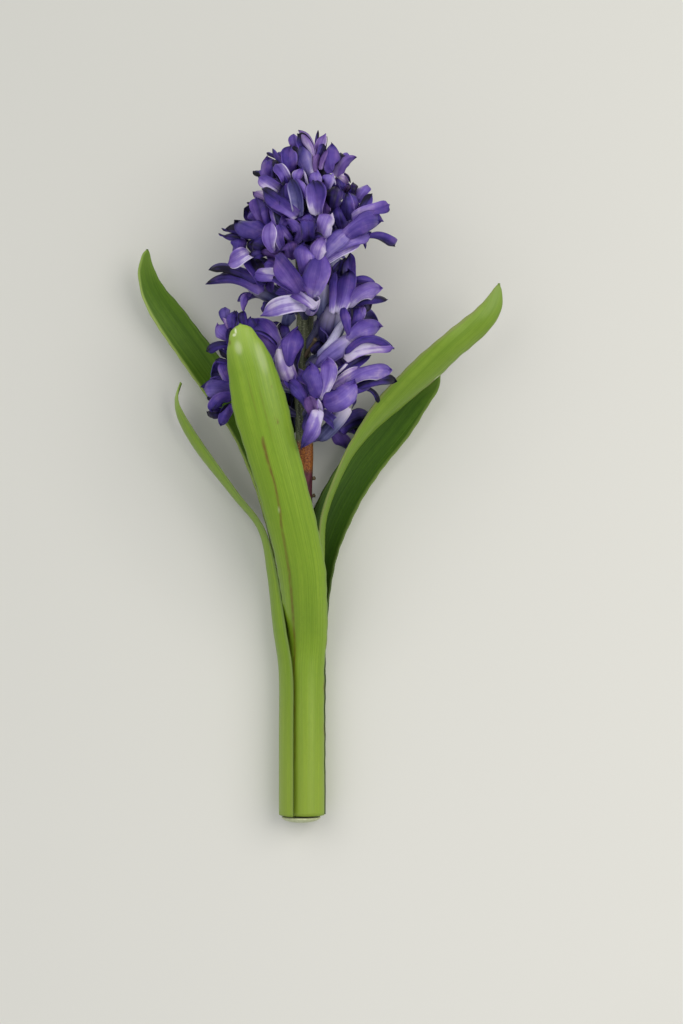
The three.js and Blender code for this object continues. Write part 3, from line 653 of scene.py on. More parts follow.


# %% Rows of single petals
# name, pixels of foot, middle and tip, their heights, width in pixels, hollow (+ shows the inside,
# - the back), bluntness, tone from 0 dark to 1 pale (or three: foot, middle, tip), and tint from
# -1 slate to 1 rose. A tone is the petal's own colour together with painted light and shade: a
# petal or part of one that lies in shadow gets a dark tone. Some say more: the foot's share of the
# width, where the petal is widest (peak), how pale the foot is, a tone of foot, middle or tip (t0,
# t1, t2), and slant, painted light that makes the right side paler, as one half of a folded
# petal is lit and the other shaded. The name's letter is P in the upper head, Q to U further down
# and X for dark petals that close gaps, painted shade deep in the head; U1 and U2 are dark petals
# painted as the shade over the stalk. A width or a bluntness with = was picked on a second look
# and is taken as it is.
PETALS = """
P1 298,150 295,142 294.5,133 34,35,34 9 -0.3 0.9 0.62 0.1
P2a 314,162 309.5,142 297.5,129 40,42,38 9 -0.5 0.2 0.85,0.75,0.5 0.6 foot=0.5
P2b 313,166 307,148 300,136 38,40,37 13 0.3 0.3 0.08 -0.1
P3 311,179 305,159 299,141 42,45,40 =15 -0.5 0.7 0.75,0.5,0.1 -0.4 foot=0.5 slant=0.3
P4 316,160 316.5,146 318.2,131 38,38,36 3.2 0.2 0.5 0.08 0.1
P5 317,158 320,146 325.5,135.5 38,39,37 =9.5 0.25 =0 0.65 0.5 pale=0.2 t2=0.55
P5b 324,152 325,145 327,137 37,38,37 3 0.2 =0 0.1 0
P6 314,174 316,160 323,148 41,42,39 =9.5 -0.35 0.4 0.48 0.7 t0=0.6 t2=0.3
P6b 319,158 321,151 324,145.5 40,41,39 6 0.3 0.3 0.15 0
P7 332,172 328.5,160 331,141.5 42,44,40 =15.5 -0.4 =0.65 0.45,0.5,0.5 0 foot=0.6 slant=-0.15
P8 320,170 323,160 327,150 42,43,43 =5 0 0.4 0.65,0.5,0.45 0.7
P9 335,172 339,160 341,151 37,39,37 11 -0.3 0.9 0.06 0
P10 341,166 345,157 347,151.5 36,37,36 6 -0.3 0.9 0.66 0.1
P11 338,178 345,162 357.5,157 38,40,36 9 -0.3 0.4 0.5 0.4 foot=1.1 peak=0.35 t0=0.65 t2=0.35
P12 337,178 343,177 350,184 37,39,36 11 -0.2 0.9 0.85 0.8 t0=0.9 t2=0.5 slant=-0.1
P12b 342,173 347,176 350.5,183 37,39.4,36.5 2 0 0.5 0.05 0.3
P13 328,189 330,181 333,172 47,50,48 =15 -0.4 =0.7 0.75,0.8,0.7 -0.1 foot=0.35 peak=0.65
P14 317,192 317,179 317.5,169 48,51,49 12.5 -0.4 1 0.5,0.68,0.6 0
P16 316.5,215 317.2,199 315,182.6 48,50,49 =19 0.25 =0.5 1,0.52,0.2 0.15 foot=0.6
P17 297,186 296.5,176 302,166.5 46,48,46 9 -0.2 0.3 0.62 0.1 foot=0.4 t2=0.5
P18 310,204 304,191 295,178 48,51,49 6.5 -0.4 0.3 0.6 0.2
P19 308,186 306,178 303,170 46,46,45 2.2 0 0.2 0.95 0
P20a 299,216 296.8,197.4 292,181 46,49,47 =12 0.5 0.3 0.75,0.42,0.2 -0.6 slant=-0.15
P20b 302,216 306,201 299,183 44,45,44 12 0.5 0.4 0.02 -0.2
P20c 299,216 298,206 295,192 45,46.5,46 9 0.3 0.3 0.85,0.35,0.1 -0.6
P21 292,172 288,161 289.5,149.5 39,42,38 =15 0.25 =0.3 0.3,0.36,0.2 -0.1 slant=0.12
P22 298,175 297,160 295,148 36,38,36 10 0.2 0.6 0.05 0
P23 287,183 282.7,173 277.5,166.5 42,45,41 =11.5 0.25 =0.4 0.6,0.68,0.45 0
P24 289,187 283,180 277.5,172.5 42,44,41 7 0.3 0.4 0.12 0
P25a 270,179 267.9,168 267.2,154.5 36,39,36 =19 -0.35 =0.85 0.5,0.42,0.28 0.3 slant=-0.05
P25b 273,182 274,169 271.5,159 37,40,37 8.5 -0.3 0.8 0.07 0
P26 265,177 259,174 253,170.5 33,33,31 5.5 -0.2 0.9 0.05 -0.5
P27 280,161 273,155.5 266,153 34,34,32 3.4 -0.2 0.8 0.15 0
P28 284,170 278,159 272,148.5 37,37,34 4.4 -0.2 0.4 0.3 0
P29 283,160 281,155 281,151 33,34,33 6 -0.2 0.9 0.5 0
P30a 280.2,192.5 271.4,185 261.5,178.4 40,43,39 =12.5 0.2 0.7 0.98,0.8,0.55 0 slant=-0.2
P30c 284,187 279,182 273,178.5 41,44.2,42 2.5 0 0.2 0.02 0
P31 284,190 286,186 288.5,181.5 42,44,43 4.5 0 0.2 0.6 0
P32 269,199 261,195 252.5,191 36,37,33 8.5 -0.3 1 0.55 0.7 t0=0.75 t1=0.72
P33 297,217 282,204 265,190.5 46,48,41 13 0.3 0.4 0.9,0.38,0.12 0.1 slant=-0.1
P34 296,217 286,203 285,187 45,47,43 11 0.3 0.4 0.22 0 t0=0.5 t2=0.25
P35 294,220 280,211 266,201 42,44,40 7 0.2 0.3 0.06 -0.1
P36 285,228 278,216 271,206 41,43,40 9 -0.3 0.4 0.18 -0.8 pale=0.5
P37 276,228 272.5,217 270,207 43,44,42 3.4 0 0.2 0.6 0
P38a 267,228 261,213 257,201 36,39,36 15 0.2 0.5 0.35,0.38,0.3 0.3
P38b 262,223 255,215 250,209 35,38,35 =13 -0.3 0.9 0.36 0.1 t0=0.3 t1=0.3
P38c 257,208 251.5,204.5 247,202.5 34,34,33 2.4 0 0.6 0.02 0
P38d 268,228 266.5,215 266,203 39,41.5,39 8 -0.2 0.6 0.26 0 t0=0.3 t1=0.34
P39 268,236 250,227 233.5,218.5 40,43,36 =20 -0.3 =0.2 0.25,0.36,0.12 -0.25 foot=0.9 slant=-0.05
P40 252,238 239,230 224,231 36,37,33 9 -0.3 0.3 0.03 0
P40b 230,231.5 225.5,230.5 221.5,228.2 33,33,32 1.8 0 0.2 0.02 0
P41 248,241 236,237 222,236 35,36,33 7 -0.3 0.3 0.12 0.2
P41b 227,236.5 222,235.5 218.5,233.5 33,33,32 1.8 0 0.2 0.02 0
P42 236,256 239,246 241,236 36,39,38 14 -0.3 0.7 0.42 0.1
P43 250,253 242,257 231,263.5 42,45,42 =15 0.25 0.7 0.85,0.82,0.5 0.15
P44a 270,251 258,245 247.5,243 43,46,41 17 -0.35 0.9 0.1 -0.1
P44b 268,252 257,255 251,262 43,46,42 10 -0.3 0.9 0.2 -0.2
P45 274,252 269.5,239 271.5,224.5 49,52,50 =13.5 0.2 0.25 0.68 0.3 foot=0.35 t0=0.75 t2=0.6
P46a 284,250 279,238 278.5,226 47,49,47 8 0.25 0.4 0.55 0
P46b 292,241 286,233 280,225 46,48,46 6 0.2 0.3 0.5 0.1
P47a 294,242 299,230 285,218.5 45,50,47 9 -0.4 0.7 0.58 0.1 t0=0.5 t2=0.5
P47b 295,240 290,230 285,223 40,41,40 7 0.2 0.4 0 -0.5
P48 291,259 290,248 286,238.5 50,53,50 =18 -0.4 1 0.28 0.5 foot=0.8 slant=0.1
P49 310,228 310,219 309.4,211.5 50,53,50 =13.5 -0.4 =0.8 0.4,0.36,0.2 -0.1 slant=0
P50 309.4,241 309.1,232.6 309.4,224.8 52,55,53 =13 0.45 =0.85 0.02,0.14,0.5 -0.2 foot=0.9 slant=0
P51 322,239 326,225 333,212 52,56,53 =16 -0.3 1 0.7,0.8,0.72 0.3
P52 311,239 316,235.5 322,235.5 53,55,55 4.5 0.2 0.3 0.05 0
P53 332,213 335,198 339,182.5 45,48,44 =17 -0.4 0.9 0.1 -0.15 foot=0.8
P54 352,196 352.5,189 353.5,181.5 40,42,40 7.5 -0.3 0.9 0.07 0
P55 345,193 347,188 350,184 40,42,41 5 -0.2 0.6 0.08 0.8
P56 354,200.5 361,191.5 367.5,182.5 38,40,37 =12 -0.3 =0.9 0.6,0.68,0.6 0.1
P57 355,205 360,199 364.5,193.5 38,39,37 =5 0 0.3 0.2 0.1 t1=0.3
P58 346,220 346.5,204 345,190 46,50,47 =16 -0.4 0.9 0.22 -0.2 foot=0.9 slant=0.15
P58b 353,214 352.5,203 348,192 47,49.8,48 2.4 -0.2 0.4 0.5 0
P59 345,231 341,216 338,200 44,48,45 =17 -0.3 0.6 0.25 0
P60 327,215 326,206 330,196 44,46,44 9 0 0.5 0.28 0.6 pale=0.2
P61 355,215.5 363.5,207 371,196 45,46,42 =10 0.2 0.5 0.3,0.25,0.15 -0.1 foot=0.5 slant=0.35
P62 353,214 356,208 358.5,203 45,46,44 4 0 0.3 0.08 0
P63 352,219 370,211.5 387,207 49,51,46 =12.5 0.2 =0.8 0.7,0.55,0.4 0.2 foot=0.8 peak=0.75
P64 340,243 362,223.5 384.5,222 52,56,49 =19 -0.3 =0.75 0.5,0.45,0.4 -0.15 foot=0.6 peak=0.7 slant=-0.08
P65 328,249 352,238 372,231.5 51,53,48 =14 -0.3 0.5 0.6,0.56,0.4 -0.1 foot=0.9
P66 364,237.5 382,236.8 395.5,247 47,46,40 =10.5 -0.3 =0.8 0.3,0.24,0.26 0.1 foot=0.38 peak=0.88
P67 320,264 341,250.5 361.5,239.5 49,51,48 =11 0.2 0.4 0.72,0.68,0.52 0.1 foot=0.8
P67b 321,259 338,247 356,239 48,50,48 9 0.2 0.4 0.14 0.1
P68 317,264 320,249 327,237.5 54,57,54 =15 -0.3 0.7 0.78 0.4 foot=0.8 t0=0.75 t2=0.6
P69 320,256 335,239 350,227 52,55,53 =17 -0.3 0.6 0.6,0.6,0.55 -0.25 foot=0.9
P70 309,276 305.5,258 305,241 54,58.5,55 =18 -0.35 1 0.5,0.58,0.45 0 foot=0.8 slant=0.12
P71 301,293 291,275 279,258 53,57.5,54 =19 0.3 =0.55 0.5,0.42,0.42 0.3 foot=0.7 slant=-0.05
P72 312.5,298 316.5,279 321.5,257 52,57,52 =24 0.3 =0.1 0.95,0.5,0.45 0.2 foot=0.25 peak=0.52
P73 315,308 301,296 283.5,287 52,53,49 =9 0.35 0.4 1,0.72,0.35 0.3 foot=0.9
P74 308,306 288,305 265,315.5 48,52,46 =18 0.25 =0.25 1,0.92,0.58 -0.1 foot=0.75 peak=0.45 slant=0.06
P75 285,277 271,275.5 258,274 46,49,46 =13 0.3 0.9 0.75,0.85,0.45 0.05
P76 301,292 286,285 272,278.5 50,52,48 8 0.2 0.4 0.24 0.1
P77 280,263 269,263 261,264 42,46,43 =14 -0.5 1 0.5 0 t1=0.45
P78 280,259 270,252 259,251 45,48,45 7 -0.3 0.6 0.3 0.7
P79 266,284 255,268 250,257 43,42,39 =16 0.2 0.6 0.06 0 foot=0.9
P80 260,281 228,267.5 207.5,270.5 42,38,30 =9.5 -0.4 =0.35 0.08 0 foot=1.25 peak=0.6 t0=0.3
P81 264,291 232,279 204.5,285 42,38,29 =9.5 -0.4 =0.2 0.2 0.1 foot=1.25 peak=0.6 t0=0.6 t1=0.25
P82 246,281 232,275.5 219.5,275 36,35,31 4 0 0.5 0.1 0
Q1 230,326 226,315 225,306 34,35,34 10 -0.3 1 0.55 -0.3 t2=0.4
Q2 232,333 227.5,325 223,318 35,37,35 3.5 0 0.3 0.75 0.8
Q3 231,338 223,330 217,322 34,36,33 =16 -0.25 0.7 0.58 0.1 slant=-0.05
Q4a 234,334 232,321 234.5,309.5 37,39,37 9.5 -0.3 0.4 0.3 0.1
Q4b 239,334 237.5,323 236.5,312 37,38,36 6 0.2 0.5 0.15 0
Q5a 246,330 243.5,319 243.5,309.5 38,40,38 8.5 -0.2 0.2 0.2 0 foot=0.9
Q5b 243.5,311 243.5,301.5 247,293.5 38,38,36 7.5 -0.2 0.6 0.5 0.1 foot=0.3
Q6 283,362 268,337 251,318 38,43,40 =25 -0.3 =0.45 0.75,0.5,0.12 0.1 foot=0.7 slant=0.22
Q6d 277,345 266,335 255,331 42.5,44.5,43 3 0.3 0.3 0.2 0
Q7 284,352 281,336 278.5,322 36,38,36 12.5 -0.3 0.9 0.06 -0.1
Q8 288,367 292,346 298.5,325 46,50,46 =20 -0.3 =0.1 0.35,0.46,0.25 0.1 foot=0.4 slant=-0.05
Q8b 276,363 281,350 289,339 44,46,46 7 -0.2 0.4 0.5 0 pale=0.2
Q10 233,346 220,345 205.5,352 36,38,35 8 -0.3 0.9 0.2 -0.1 foot=0.7 peak=0.8
Q11 230,363 222,361 215,360 34,35,34 5 -0.2 0.5 0.14 0
Q12 229,382 223,372 219.5,362 34,36,34 8 -0.2 0.5 0.5 0.1 pale=0.2
Q13 232,360 225,354 219,350 33,34,33 6 0 0.5 0.02 0
Q14 235,348 229,339 230,329 38,40,38 7 0.2 0.5 0.08 0
R1 232,388 214,386 199.5,387 34,37,33 =20 -0.4 1 0.48 -0.3 foot=0.8 t0=0.4 slant=-0.2
R2 220,401 213,399 207,398 33,34,33 5 0 0.6 0.08 0
R3 232,398 219,401 212,413 36,39,37 12 -0.35 0.9 0.3 -0.1 t0=0.4 t2=0.2
R4 224,412 213,413 206,411 33,35,33 11 -0.3 1 0.04 -0.1
R5 231,404 226.5,415 221,427 35,38,35 9.5 -0.3 0.9 0.38 0 t0=0.6 t2=0.35
R6 231,405 226,409 221.5,414 34,37,36 6 0.3 0.5 0.03 0
S2a 338,314 344,290 347,267 47,49,44 =20 -0.3 0.9 1.05,0.3,0.06 0 foot=0.55 slant=0.05
S2b 333,314 334,292 337,271 46.5,48,44 =9 -0.3 0.5 1.05,0.36,0.2 0
S2c 350,296 350,273.5 350.5,254.5 38,41,38 =13 0.2 =0.1 0.1 0 t1=0.18 slant=0.2
S2d 331,276 336,268 343.5,259.5 38,39,37 6 0 0.3 0.12 -0.4
S2d2 330,268 335,262 341,256 38,38.5,37 3 0 0.3 0.7 -0.7
S2e 330,310 330.5,290 331,266 40,42,40 6 0 0.4 0.04 0
S2e2 329.5,308 330.5,299 331.5,292 42,43,43 1.6 0 0.3 0.8 0.3
S4a 349,283 363,280.5 376.5,286.5 38,40,36 7 -0.35 0.8 0.2 -0.1
S4b 346,308 365,290 384.5,288 45,50,43 =16.5 -0.4 =0.6 0.85,0.58,0.5 0.25 foot=0.6
S4c 352,306 370,299 388.5,299 42,45,40 7 -0.3 0.8 0.12 -0.1
S4d 349,322 360,309 373,303 40,42,38 13 -0.2 0.9 0.1 0.1
S4e 357,324 361,314 364,305 42,43.5,42 7 -0.2 0.6 0.5 0.2
S5 352,340 346,321 344.5,304 46,51,48 =9 -0.3 0.5 0.28 0 foot=0.5 t0=0.35
S6 351,334 351.5,318 352,306 44,46,45 3 0 0.3 0.02 0
S7 353,334 356,319 358.5,305 44,47,45 9 -0.2 0.6 0.2 0
S8 347,342 365,328 384,327 46,51,44 =18 -0.3 =0.75 0.75,0.5,0.42 -0.1 foot=0.55
S9a 345,354 369,338 395,349.5 47,51,42 =8 -0.4 0.5 0.2 0 foot=0.7 t0=0.3 t2=0.25
S9b 344,358 366,349 391,349 45,48,42 =14 0.2 0.5 1,0.88,0.45 0.35 foot=0.8
S10 317.5,356 332,340 345.5,317 42,45,44.5 =8 -0.3 =0.1 0.6,0.9,0.8 -0.6
S11 321,353 325,347 329,342 32,34,34 7 0 0.5 0.02 -0.4
T1a 319,397 311.5,380 309,361 50,55,51 =18 -0.35 =0.45 0.4,0.36,0.22 -0.15 foot=0.75
T1b 320,400 328,377 327,356 49,53.5,50 =16 -0.2 =0.5 0.85,0.6,0.35 0.2 foot=0.6 peak=0.6
T1c 322.5,403 340.2,394.9 355.5,377.5 50,57,51 =22.5 -0.35 =0.25 0.25,0.5,0.5 0 foot=0.8 peak=0.6 slant=0.15
T1d 309,412 299,391 286,379.5 46,50,44 =13 -0.2 =0.1 0.24 -0.1 foot=0.5 t0=0.3
T1e 318,416 313,405 311,396 46,49,50 =12 0.5 0.5 0.5,0.42,0.35 1
T1e2 321,416 320,408 318,399 46.5,49.7,50.7 =5 0.3 0.4 0.9 0.3 foot=0.5 t0=0.8 t1=0.75
T1f 318.5,409 313.5,429 300.6,451 50,55,46 =15.5 -0.3 =0.12 1,0.62,0.2 0.15 foot=0.75 peak=0.5
T2a 333,380 350,367 369.5,357 42,45,41 =10 0.2 0.4 0.35,0.15,0.1 0
T2a2 336,375 343,368 349.5,361.5 44,45.8,44.8 2 0 0.3 0.95 0
T2b 330,388 345,377 363,368 43,46.5,46 =9 -0.2 0.4 0.66 0.5 pale=0.3
T2c 343,386 368,371 394,369.5 44,50,43 =15 -0.35 0.95 0.75,0.6,0.5 0.1 foot=0.75 peak=0.75
T2d 349,392 374,381 398,382 42,47,40 =10 -0.3 0.8 0.12 -0.1 foot=0.7 peak=0.7
T2e 344,394 361,387 374,384.5 42,45,42 9 -0.2 0.5 0.3 0 pale=0.2
T2f 361,389 372.5,391 378,403 41,41,37 =4.5 0 0.9 0.03 -0.2 peak=0.85
T3b 338,430 356,420.5 375,417 24,21,14 =18 -0.3 =0.4 0.35,0.14,0.12 -0.1 foot=0.7
T3d 339,427.3 354.6,429.9 369,430.9 14,13,11 =6 0 0.5 0.08,0.05,0.05 -0.3
U1 297,376 291.5,392 288.5,410 18,17,15 10 0.3 0.5 0.12 -0.9
U2 299,398 293.5,414 294.5,432 18,17,15 9 0.3 0.5 0.08 -1
T3e 333,431 342,440 346,451 22,21,17 =15 -0.2 =0.3 0.5,0.42,0.35 0.3
X1 291,312 289,320 288,329.5 41,40,37 12 -0.4 0.8 0.42 -0.9 pale=0.2
X2 268,303 265.5,308 263,314 37,37,35 9 -0.3 0.8 0.12 0
X3 259,330 253.5,322 251,315.5 40,41,39 11 -0.3 1 0.2 0
X4 341,192 338,184 336,175 38,40,38 13 -0.3 0.8 0.14 0
X5 291,183 290,174 289,166 36,37,36 12 -0.3 0.8 0.08 0
X6 324,182 323,172 323,163 36,38,36 12 -0.3 0.8 0.06 0
X7 257,251 251,245 247,240 36,37,36 10 -0.3 0.8 0.1 0
X8 341,276 343,266 346,257 38,40,38 10 -0.3 0.5 0.14 -0.3
X9 312,353 317,347.5 323,341 34,35,35 8 -0.3 0.5 0.1 -0.5
"""
WIDER, BLUNTER = 1.06, 0.85  # what the second look made of a first width and bluntness
FULLER = 1.08  # and of every width


def petal_row(line):
    """Numbers of one petal: 9 of its places, width, bluntness, hollow, 3 tones, slant, tint,
    share of the foot, and widest place. A tip is 0.12 darker than the middle, and so is a foot that
    isn't pale. Petals of S and T that aren't dark get paler by 0.06 and 0.1. The slant, painted
    light that makes one half paler, goes to the left or right by a draw from the name's letters."""
    name, *words = line.split()
    width, hollow, blunt, tone, tint, *more = words[4:]
    more = {key: float(value) for key, value in (word.split("=") for word in more)}
    width = float(width[1:]) if width[0] == "=" else WIDER * float(width)
    blunt = float(blunt[1:]) if blunt[0] == "=" else BLUNTER * float(blunt)
    tones = [float(value) for value in tone.split(",")]
    if len(tones) == 1:
        middle, pale = tones[0], more.get("pale", 0)
        tip = max(0, middle - 0.12)
        foot = middle + pale * (1 - middle) * 0.8 if pale else tip
        tones = [more.get("t0", foot), more.get("t1", middle), more.get("t2", tip)]
    if name[0] in "TS" and tones[1] > 0.16:
        tones = [value + paler for value, paler in zip(tones, (0.06, 0.1, 0.1))]
    chance = draw(sum(ord(letter) * (k + 3) for k, letter in enumerate(name)))
    slant = (0.2 if name[0] in "PQ" else 0.12) * (1 if chance > 0.5 else -1)
    return [
        *seen_places(words, LIFT if name[0] == "P" else 0.0),
        round(width * NEAR_PIXEL * FULLER, 1), blunt, float(hollow), *np.round(tones, 2),
        more.get("slant", slant), float(tint), more.get("foot", 0.78), more.get("peak", 0.6),
    ]


# %% Rows of open tubes
# name, pixels of throat, middle and foot, their heights, three radii in pixels, tone, tint, and how
# pale the throat is
TUBES = """
F16 254,283 270,293 300,308 37,35,31 9,8.8,6 0.42 -0.8 0.6
Q9 282,349 285,367 294,388 45,43,38 4.5,8.5,6.5 0.9 0.4 0.5
P72 313,298 311.8,304.5 309.8,313 51,48,42 6.5,6.8,5 0.95 0.35 0.6
S1 334,308 327,327 327,346 43,38,29 6,8,3.5 0.3 -0.5 0.5
S1b 341,309 339.5,325 331,345 43,40,30 5.5,6.4,3 0.5 -0.8 0.7
S3 324,287 321.5,304 322,320 42,42,34 5.5,6,3 0.55 -0.9 0.4
S8 352,342 336,351 316,367 43,44,42 8.5,8,4 0.72 -0.3 0.5
T2 352,378 340,382 325,388 42,41,36 6,6,4.5 0.6 0.2 0.5
T3a 346,408 334,424 319,440 34,35,32 6.2,6.8,5 0.55 -0.8 0.9
"""


def tube_row(line):
    """Numbers of one tube: 9 of its places, three radii, tone, tint and pale throat."""
    words = line.split()[1:]
    radii = [round(float(pixels) * NEAR_PIXEL, 1) for pixels in words[4].split(",")]
    return [*seen_places(words), *radii, *(float(word) for word in words[5:])]


petals = np.array([petal_row(line) for line in PETALS.strip().splitlines()])
tubes = np.array([tube_row(line) for line in TUBES.strip().splitlines()])
print(len(petals), "single petals and", len(tubes), "open tubes")

# %% Single petal grids
PETAL_ROWS, PETAL_COLUMNS, TUBE_COLUMNS = 22, 13, 21
PETAL_THICK, TUBE_THICK = 0.6, 0.45


def parabola(first, middle, last, s):
    """The parabola through three values at s = 0, 1/2 and 1, and its slope."""
    value = first * (1 - s) * (1 - 2 * s) + 4 * middle * s * (1 - s) + last * s * (2 * s - 1)
    return value, first * (4 * s - 3) + 4 * middle * (1 - 2 * s) + last * (4 * s - 1)


def rib_of(rows, s):
    """Places on the parabola through the three places of a row, with the way to the side and the
    way up from it."""
    places, slope = parabola(*(rows[:, None, k : k + 3] for k in (0, 3, 6)), s)
    along = unit(slope)
    side = unit(np.cross(along, UP))
    return places[:, :, None], side[:, :, None], np.cross(side, along)[:, :, None]


def single_petals(rows):
    """A blade for each row. Half width: the foot's share, full at the widest place, then
    (1 - e^p)^q to the tip, where e runs from 0 there to 1, and p and q follow the bluntness. Depth:
    the hollow times the half width times a gutter, part round and part folded at the rib."""
    seed = 300.0 + np.arange(len(rows))
    s = np.linspace(0, 1, PETAL_ROWS)[:, None]
    u = np.linspace(-1, 1, PETAL_COLUMNS)
    rib, side, face = rib_of(rows, s)
    width, blunt, hollow, tone_foot, tone_middle, tone_tip, slant, tint, foot, peak = (
        over_cells(rows[:, k]) for k in range(9, 19)
    )
    # a petal turns on its rib by up to 25 degrees, and a narrow one stays as it is
    turn = np.radians(50 * over_cells(draw(seed) - 0.5)) * (width > 1.5)
    roll = (turn * (0.35 + 0.9 * s - 1.2 * (s - 0.4) ** 2))[..., None]
    sideways = side * np.cos(roll) + face * np.sin(roll)
    facing = face * np.cos(roll) - side * np.sin(roll)

    end = np.clip((s - peak) / (1 - peak), 0, 1)
    p, q = 1.9 + 2.1 * blunt, 0.9 - 0.44 * blunt
    start = np.sqrt(1 - (1 - np.minimum(s / 0.08, 1)) ** 2)
    half = 0.5 * width * (foot + (1 - foot) * smooth(0, peak, s)) * (1 - end**p) ** q * start
    half = half + 0.05
    phase = 6.28 * over_cells(draw(seed + 0.3))
    across = half * u * (1 + 0.12 * np.sin(6 * s + phase + 1.7 * np.sign(u)) * np.abs(u))
    gutter = 1.1 * u**2 + 1.25 * (np.sqrt(u**2 + 0.012) - 0.11)
    depth = hollow * half * gutter * smooth(-0.1, 0.3, s)
    wave = 0.1 * width * np.sin(8 * s + 2 * phase + 2 * np.sign(u)) * u**2
    curl = 0.3 * width * end**2 * np.sign(hollow) * (1 - 0.6 * u**2)
    grid = rib + sideways * across[..., None] + facing * (depth + wave + curl)[..., None]
    # painted light and shade: slant makes one half of the petal paler, the lit half of a folded petal
    tone = parabola(tone_foot, tone_middle, tone_tip, s)[0] + slant * u
    # a petal that shows its inside is turned over, so its outer skin lies underneath
    turned = rows[:, 11] >= 0
    grid[turned], tone[turned] = grid[turned][:, :, ::-1], tone[turned][:, :, ::-1]
    thick = np.minimum(PETAL_THICK, 0.3 * width) * (1 - 0.82 * u**4) * (1 - 0.45 * s)
    values = {
        "along": s, "across": u, "chance": over_cells(draw(seed + 0.55)),
        "tone": tone, "tint": tint, "pale": 0.0,
    }
    return grid, thick, values


def open_tubes(rows):
    """A rolled sheet for each row: a ring of the radius that the three given radii interpolate,
    round the parabola through three places, with six shallow grooves."""
    s = np.linspace(0, 1, PETAL_ROWS)[:, None]
    angle = np.linspace(0, 2 * np.pi, TUBE_COLUMNS)
    middle, side, face = rib_of(rows, s)
    radius = parabola(*(over_cells(rows[:, k]) for k in (9, 10, 11)), s)[0]
    radius = radius * np.sqrt(1 - (0.98 * np.clip((s - 0.8) / 0.2, 0, 1)) ** 2)
    r = (radius * (1 + 0.05 * np.cos(6 * angle)))[..., None]
    ring = side * np.cos(angle)[:, None] + face * np.sin(angle)[:, None]
    tone, tint, pale = (over_cells(rows[:, k]) for k in (12, 13, 14))
    values = {
        "along": 0.9 * s, "across": 0.5 * np.cos(3 * angle),
        "chance": over_cells(draw(np.arange(len(rows)) + 0.7)),
        "tone": tone - 0.2 * s, "tint": tint, "pale": pale,
    }
    return middle + r * ring, np.full(r.shape[:-1], TUBE_THICK), values


# %% Single petals in two pieces, and the open tubes
CROWN_START = 205.0  # petals whose middle lies past this height belong to the crown
in_crown = petals[:, 4] > CROWN_START
petals_top = make_blades("petals_of_the_crown", *single_petals(petals[in_crown]), petal_skins)
petals_low = make_blades("petals_below_the_crown", *single_petals(petals[~in_crown]), petal_skins)
tubes_open = make_blades("open_tubes", *open_tubes(tubes), petal_skins)

# %% [markdown]
# ## Leaves
# A hyacinth leaf is a long fleshy strap with a smooth waxy outer face. At each place along its rib
# the blade is an arc of a circle, closed round the stalk in the bundle and opening above it.


# %% Leaf rows
def bundled(y, radius, rib, arc):
    """A row in the bundle: an arc round the stalk at this radius, its rib at this angle."""
    a = math.radians(rib)
    x, z = radius * math.cos(a), BUNDLE_HEIGHT + radius * math.sin(a)
    return [x, y, z, radius * math.radians(arc), arc, 270 - rib]


# rows: x y z of the rib's outer face, the width round the curve, the arc and the way it faces, both
# in degrees
LEAF_FRONT = [
    bundled(0, 8.1, 105, 172), bundled(30, 8.1, 105, 172), bundled(58, 8.2, 105, 165),
    [-1.2, 72, 18, 24, 150, 168], [-1.2, 88, 26.5, 23.5, 130, 173],
    [-2.5, 104, 34, 23.5, 115, 175], [-7.6, 128, 43, 22.5, 105, 178],
    [-13.9, 152, 50, 23.5, 95, 180], [-17.8, 167, 53, 23.6, 93, 180],
    [-20.6, 179, 54, 21.2, 95, 180], [-22.9, 187, 54, 17.6, 100, 180],
    [-24, 191.6, 53.5, 13.4, 100, 180], [-24.6, 194.8, 53, 10.2, 95, 180],
    [-25, 197, 52.4, 6.6, 80, 180],
]
LEAF_LEFT = [
    bundled(0, 11, 172, 108), bundled(30, 11, 172, 108), bundled(58, 11.1, 172, 106),
    [-13.3, 76, 10, 19.2, 104, 98], [-15.7, 98, 10.6, 17.5, 90, 97],
    [-19.4, 116, 10.4, 14.5, 62, 95], [-30.2, 130, 9.6, 14.5, 60, 98],
    [-44, 148, 10, 14, 60, 107], [-51.4, 160.6, 11.5, 12.2, 58, 106], [-53.3, 169, 13, 9, 55, 98],
    [-51.2, 176.2, 14, 1.6, 40, 90],
]
LEAF_BACK = [
    bundled(0, 5.4, 158, 120), bundled(30, 5.4, 158, 120), bundled(58, 5.6, 158, 120),
    [-7.2, 78, 9.8, 13, 110, 104], [-8.8, 92, 7.6, 14.5, 105, 78],
    [-10.8, 106, 5.8, 16.5, 95, 50], [-14.5, 131, 4.6, 17, 85, 30],
    [-24.4, 158, 4.5, 16.6, 75, 18], [-41.2, 182.6, 6, 15.2, 72, 10],
    [-53.5, 200, 8, 13.8, 70, 5], [-61.5, 212, 10.5, 11.2, 66, 0], [-64.6, 220.6, 12.5, 8, 62, 0],
    [-64.9, 226.4, 13.5, 4.6, 50, 0], [-64.3, 230, 14, 2.6, 40, 0],
]
LEAF_RIGHT = [
    bundled(0, 5.4, 355, 140), bundled(30, 5.4, 355, 140), bundled(58, 5.5, 355, 135),
    [6.6, 80, 9.8, 14, 110, -86], [7.7, 104, 13, 15, 88, -88], [8.9, 122, 16, 15.5, 70, -90],
    [16.3, 141, 21, 15, 62, -95], [24.2, 153.2, 23.5, 15.6, 64, -107],
    [36, 166.4, 26.5, 17, 70, -125], [50.4, 180.3, 30.5, 16.5, 75, -138],
    [58.9, 188.4, 33, 14.6, 75, -142], [66.6, 195.2, 33, 13, 75, -148],
    [71.8, 200.4, 33, 11.6, 72, -155], [75.6, 206.4, 32, 9, 65, -160],
    [77.7, 214.7, 31, 1.6, 40, -165],
]
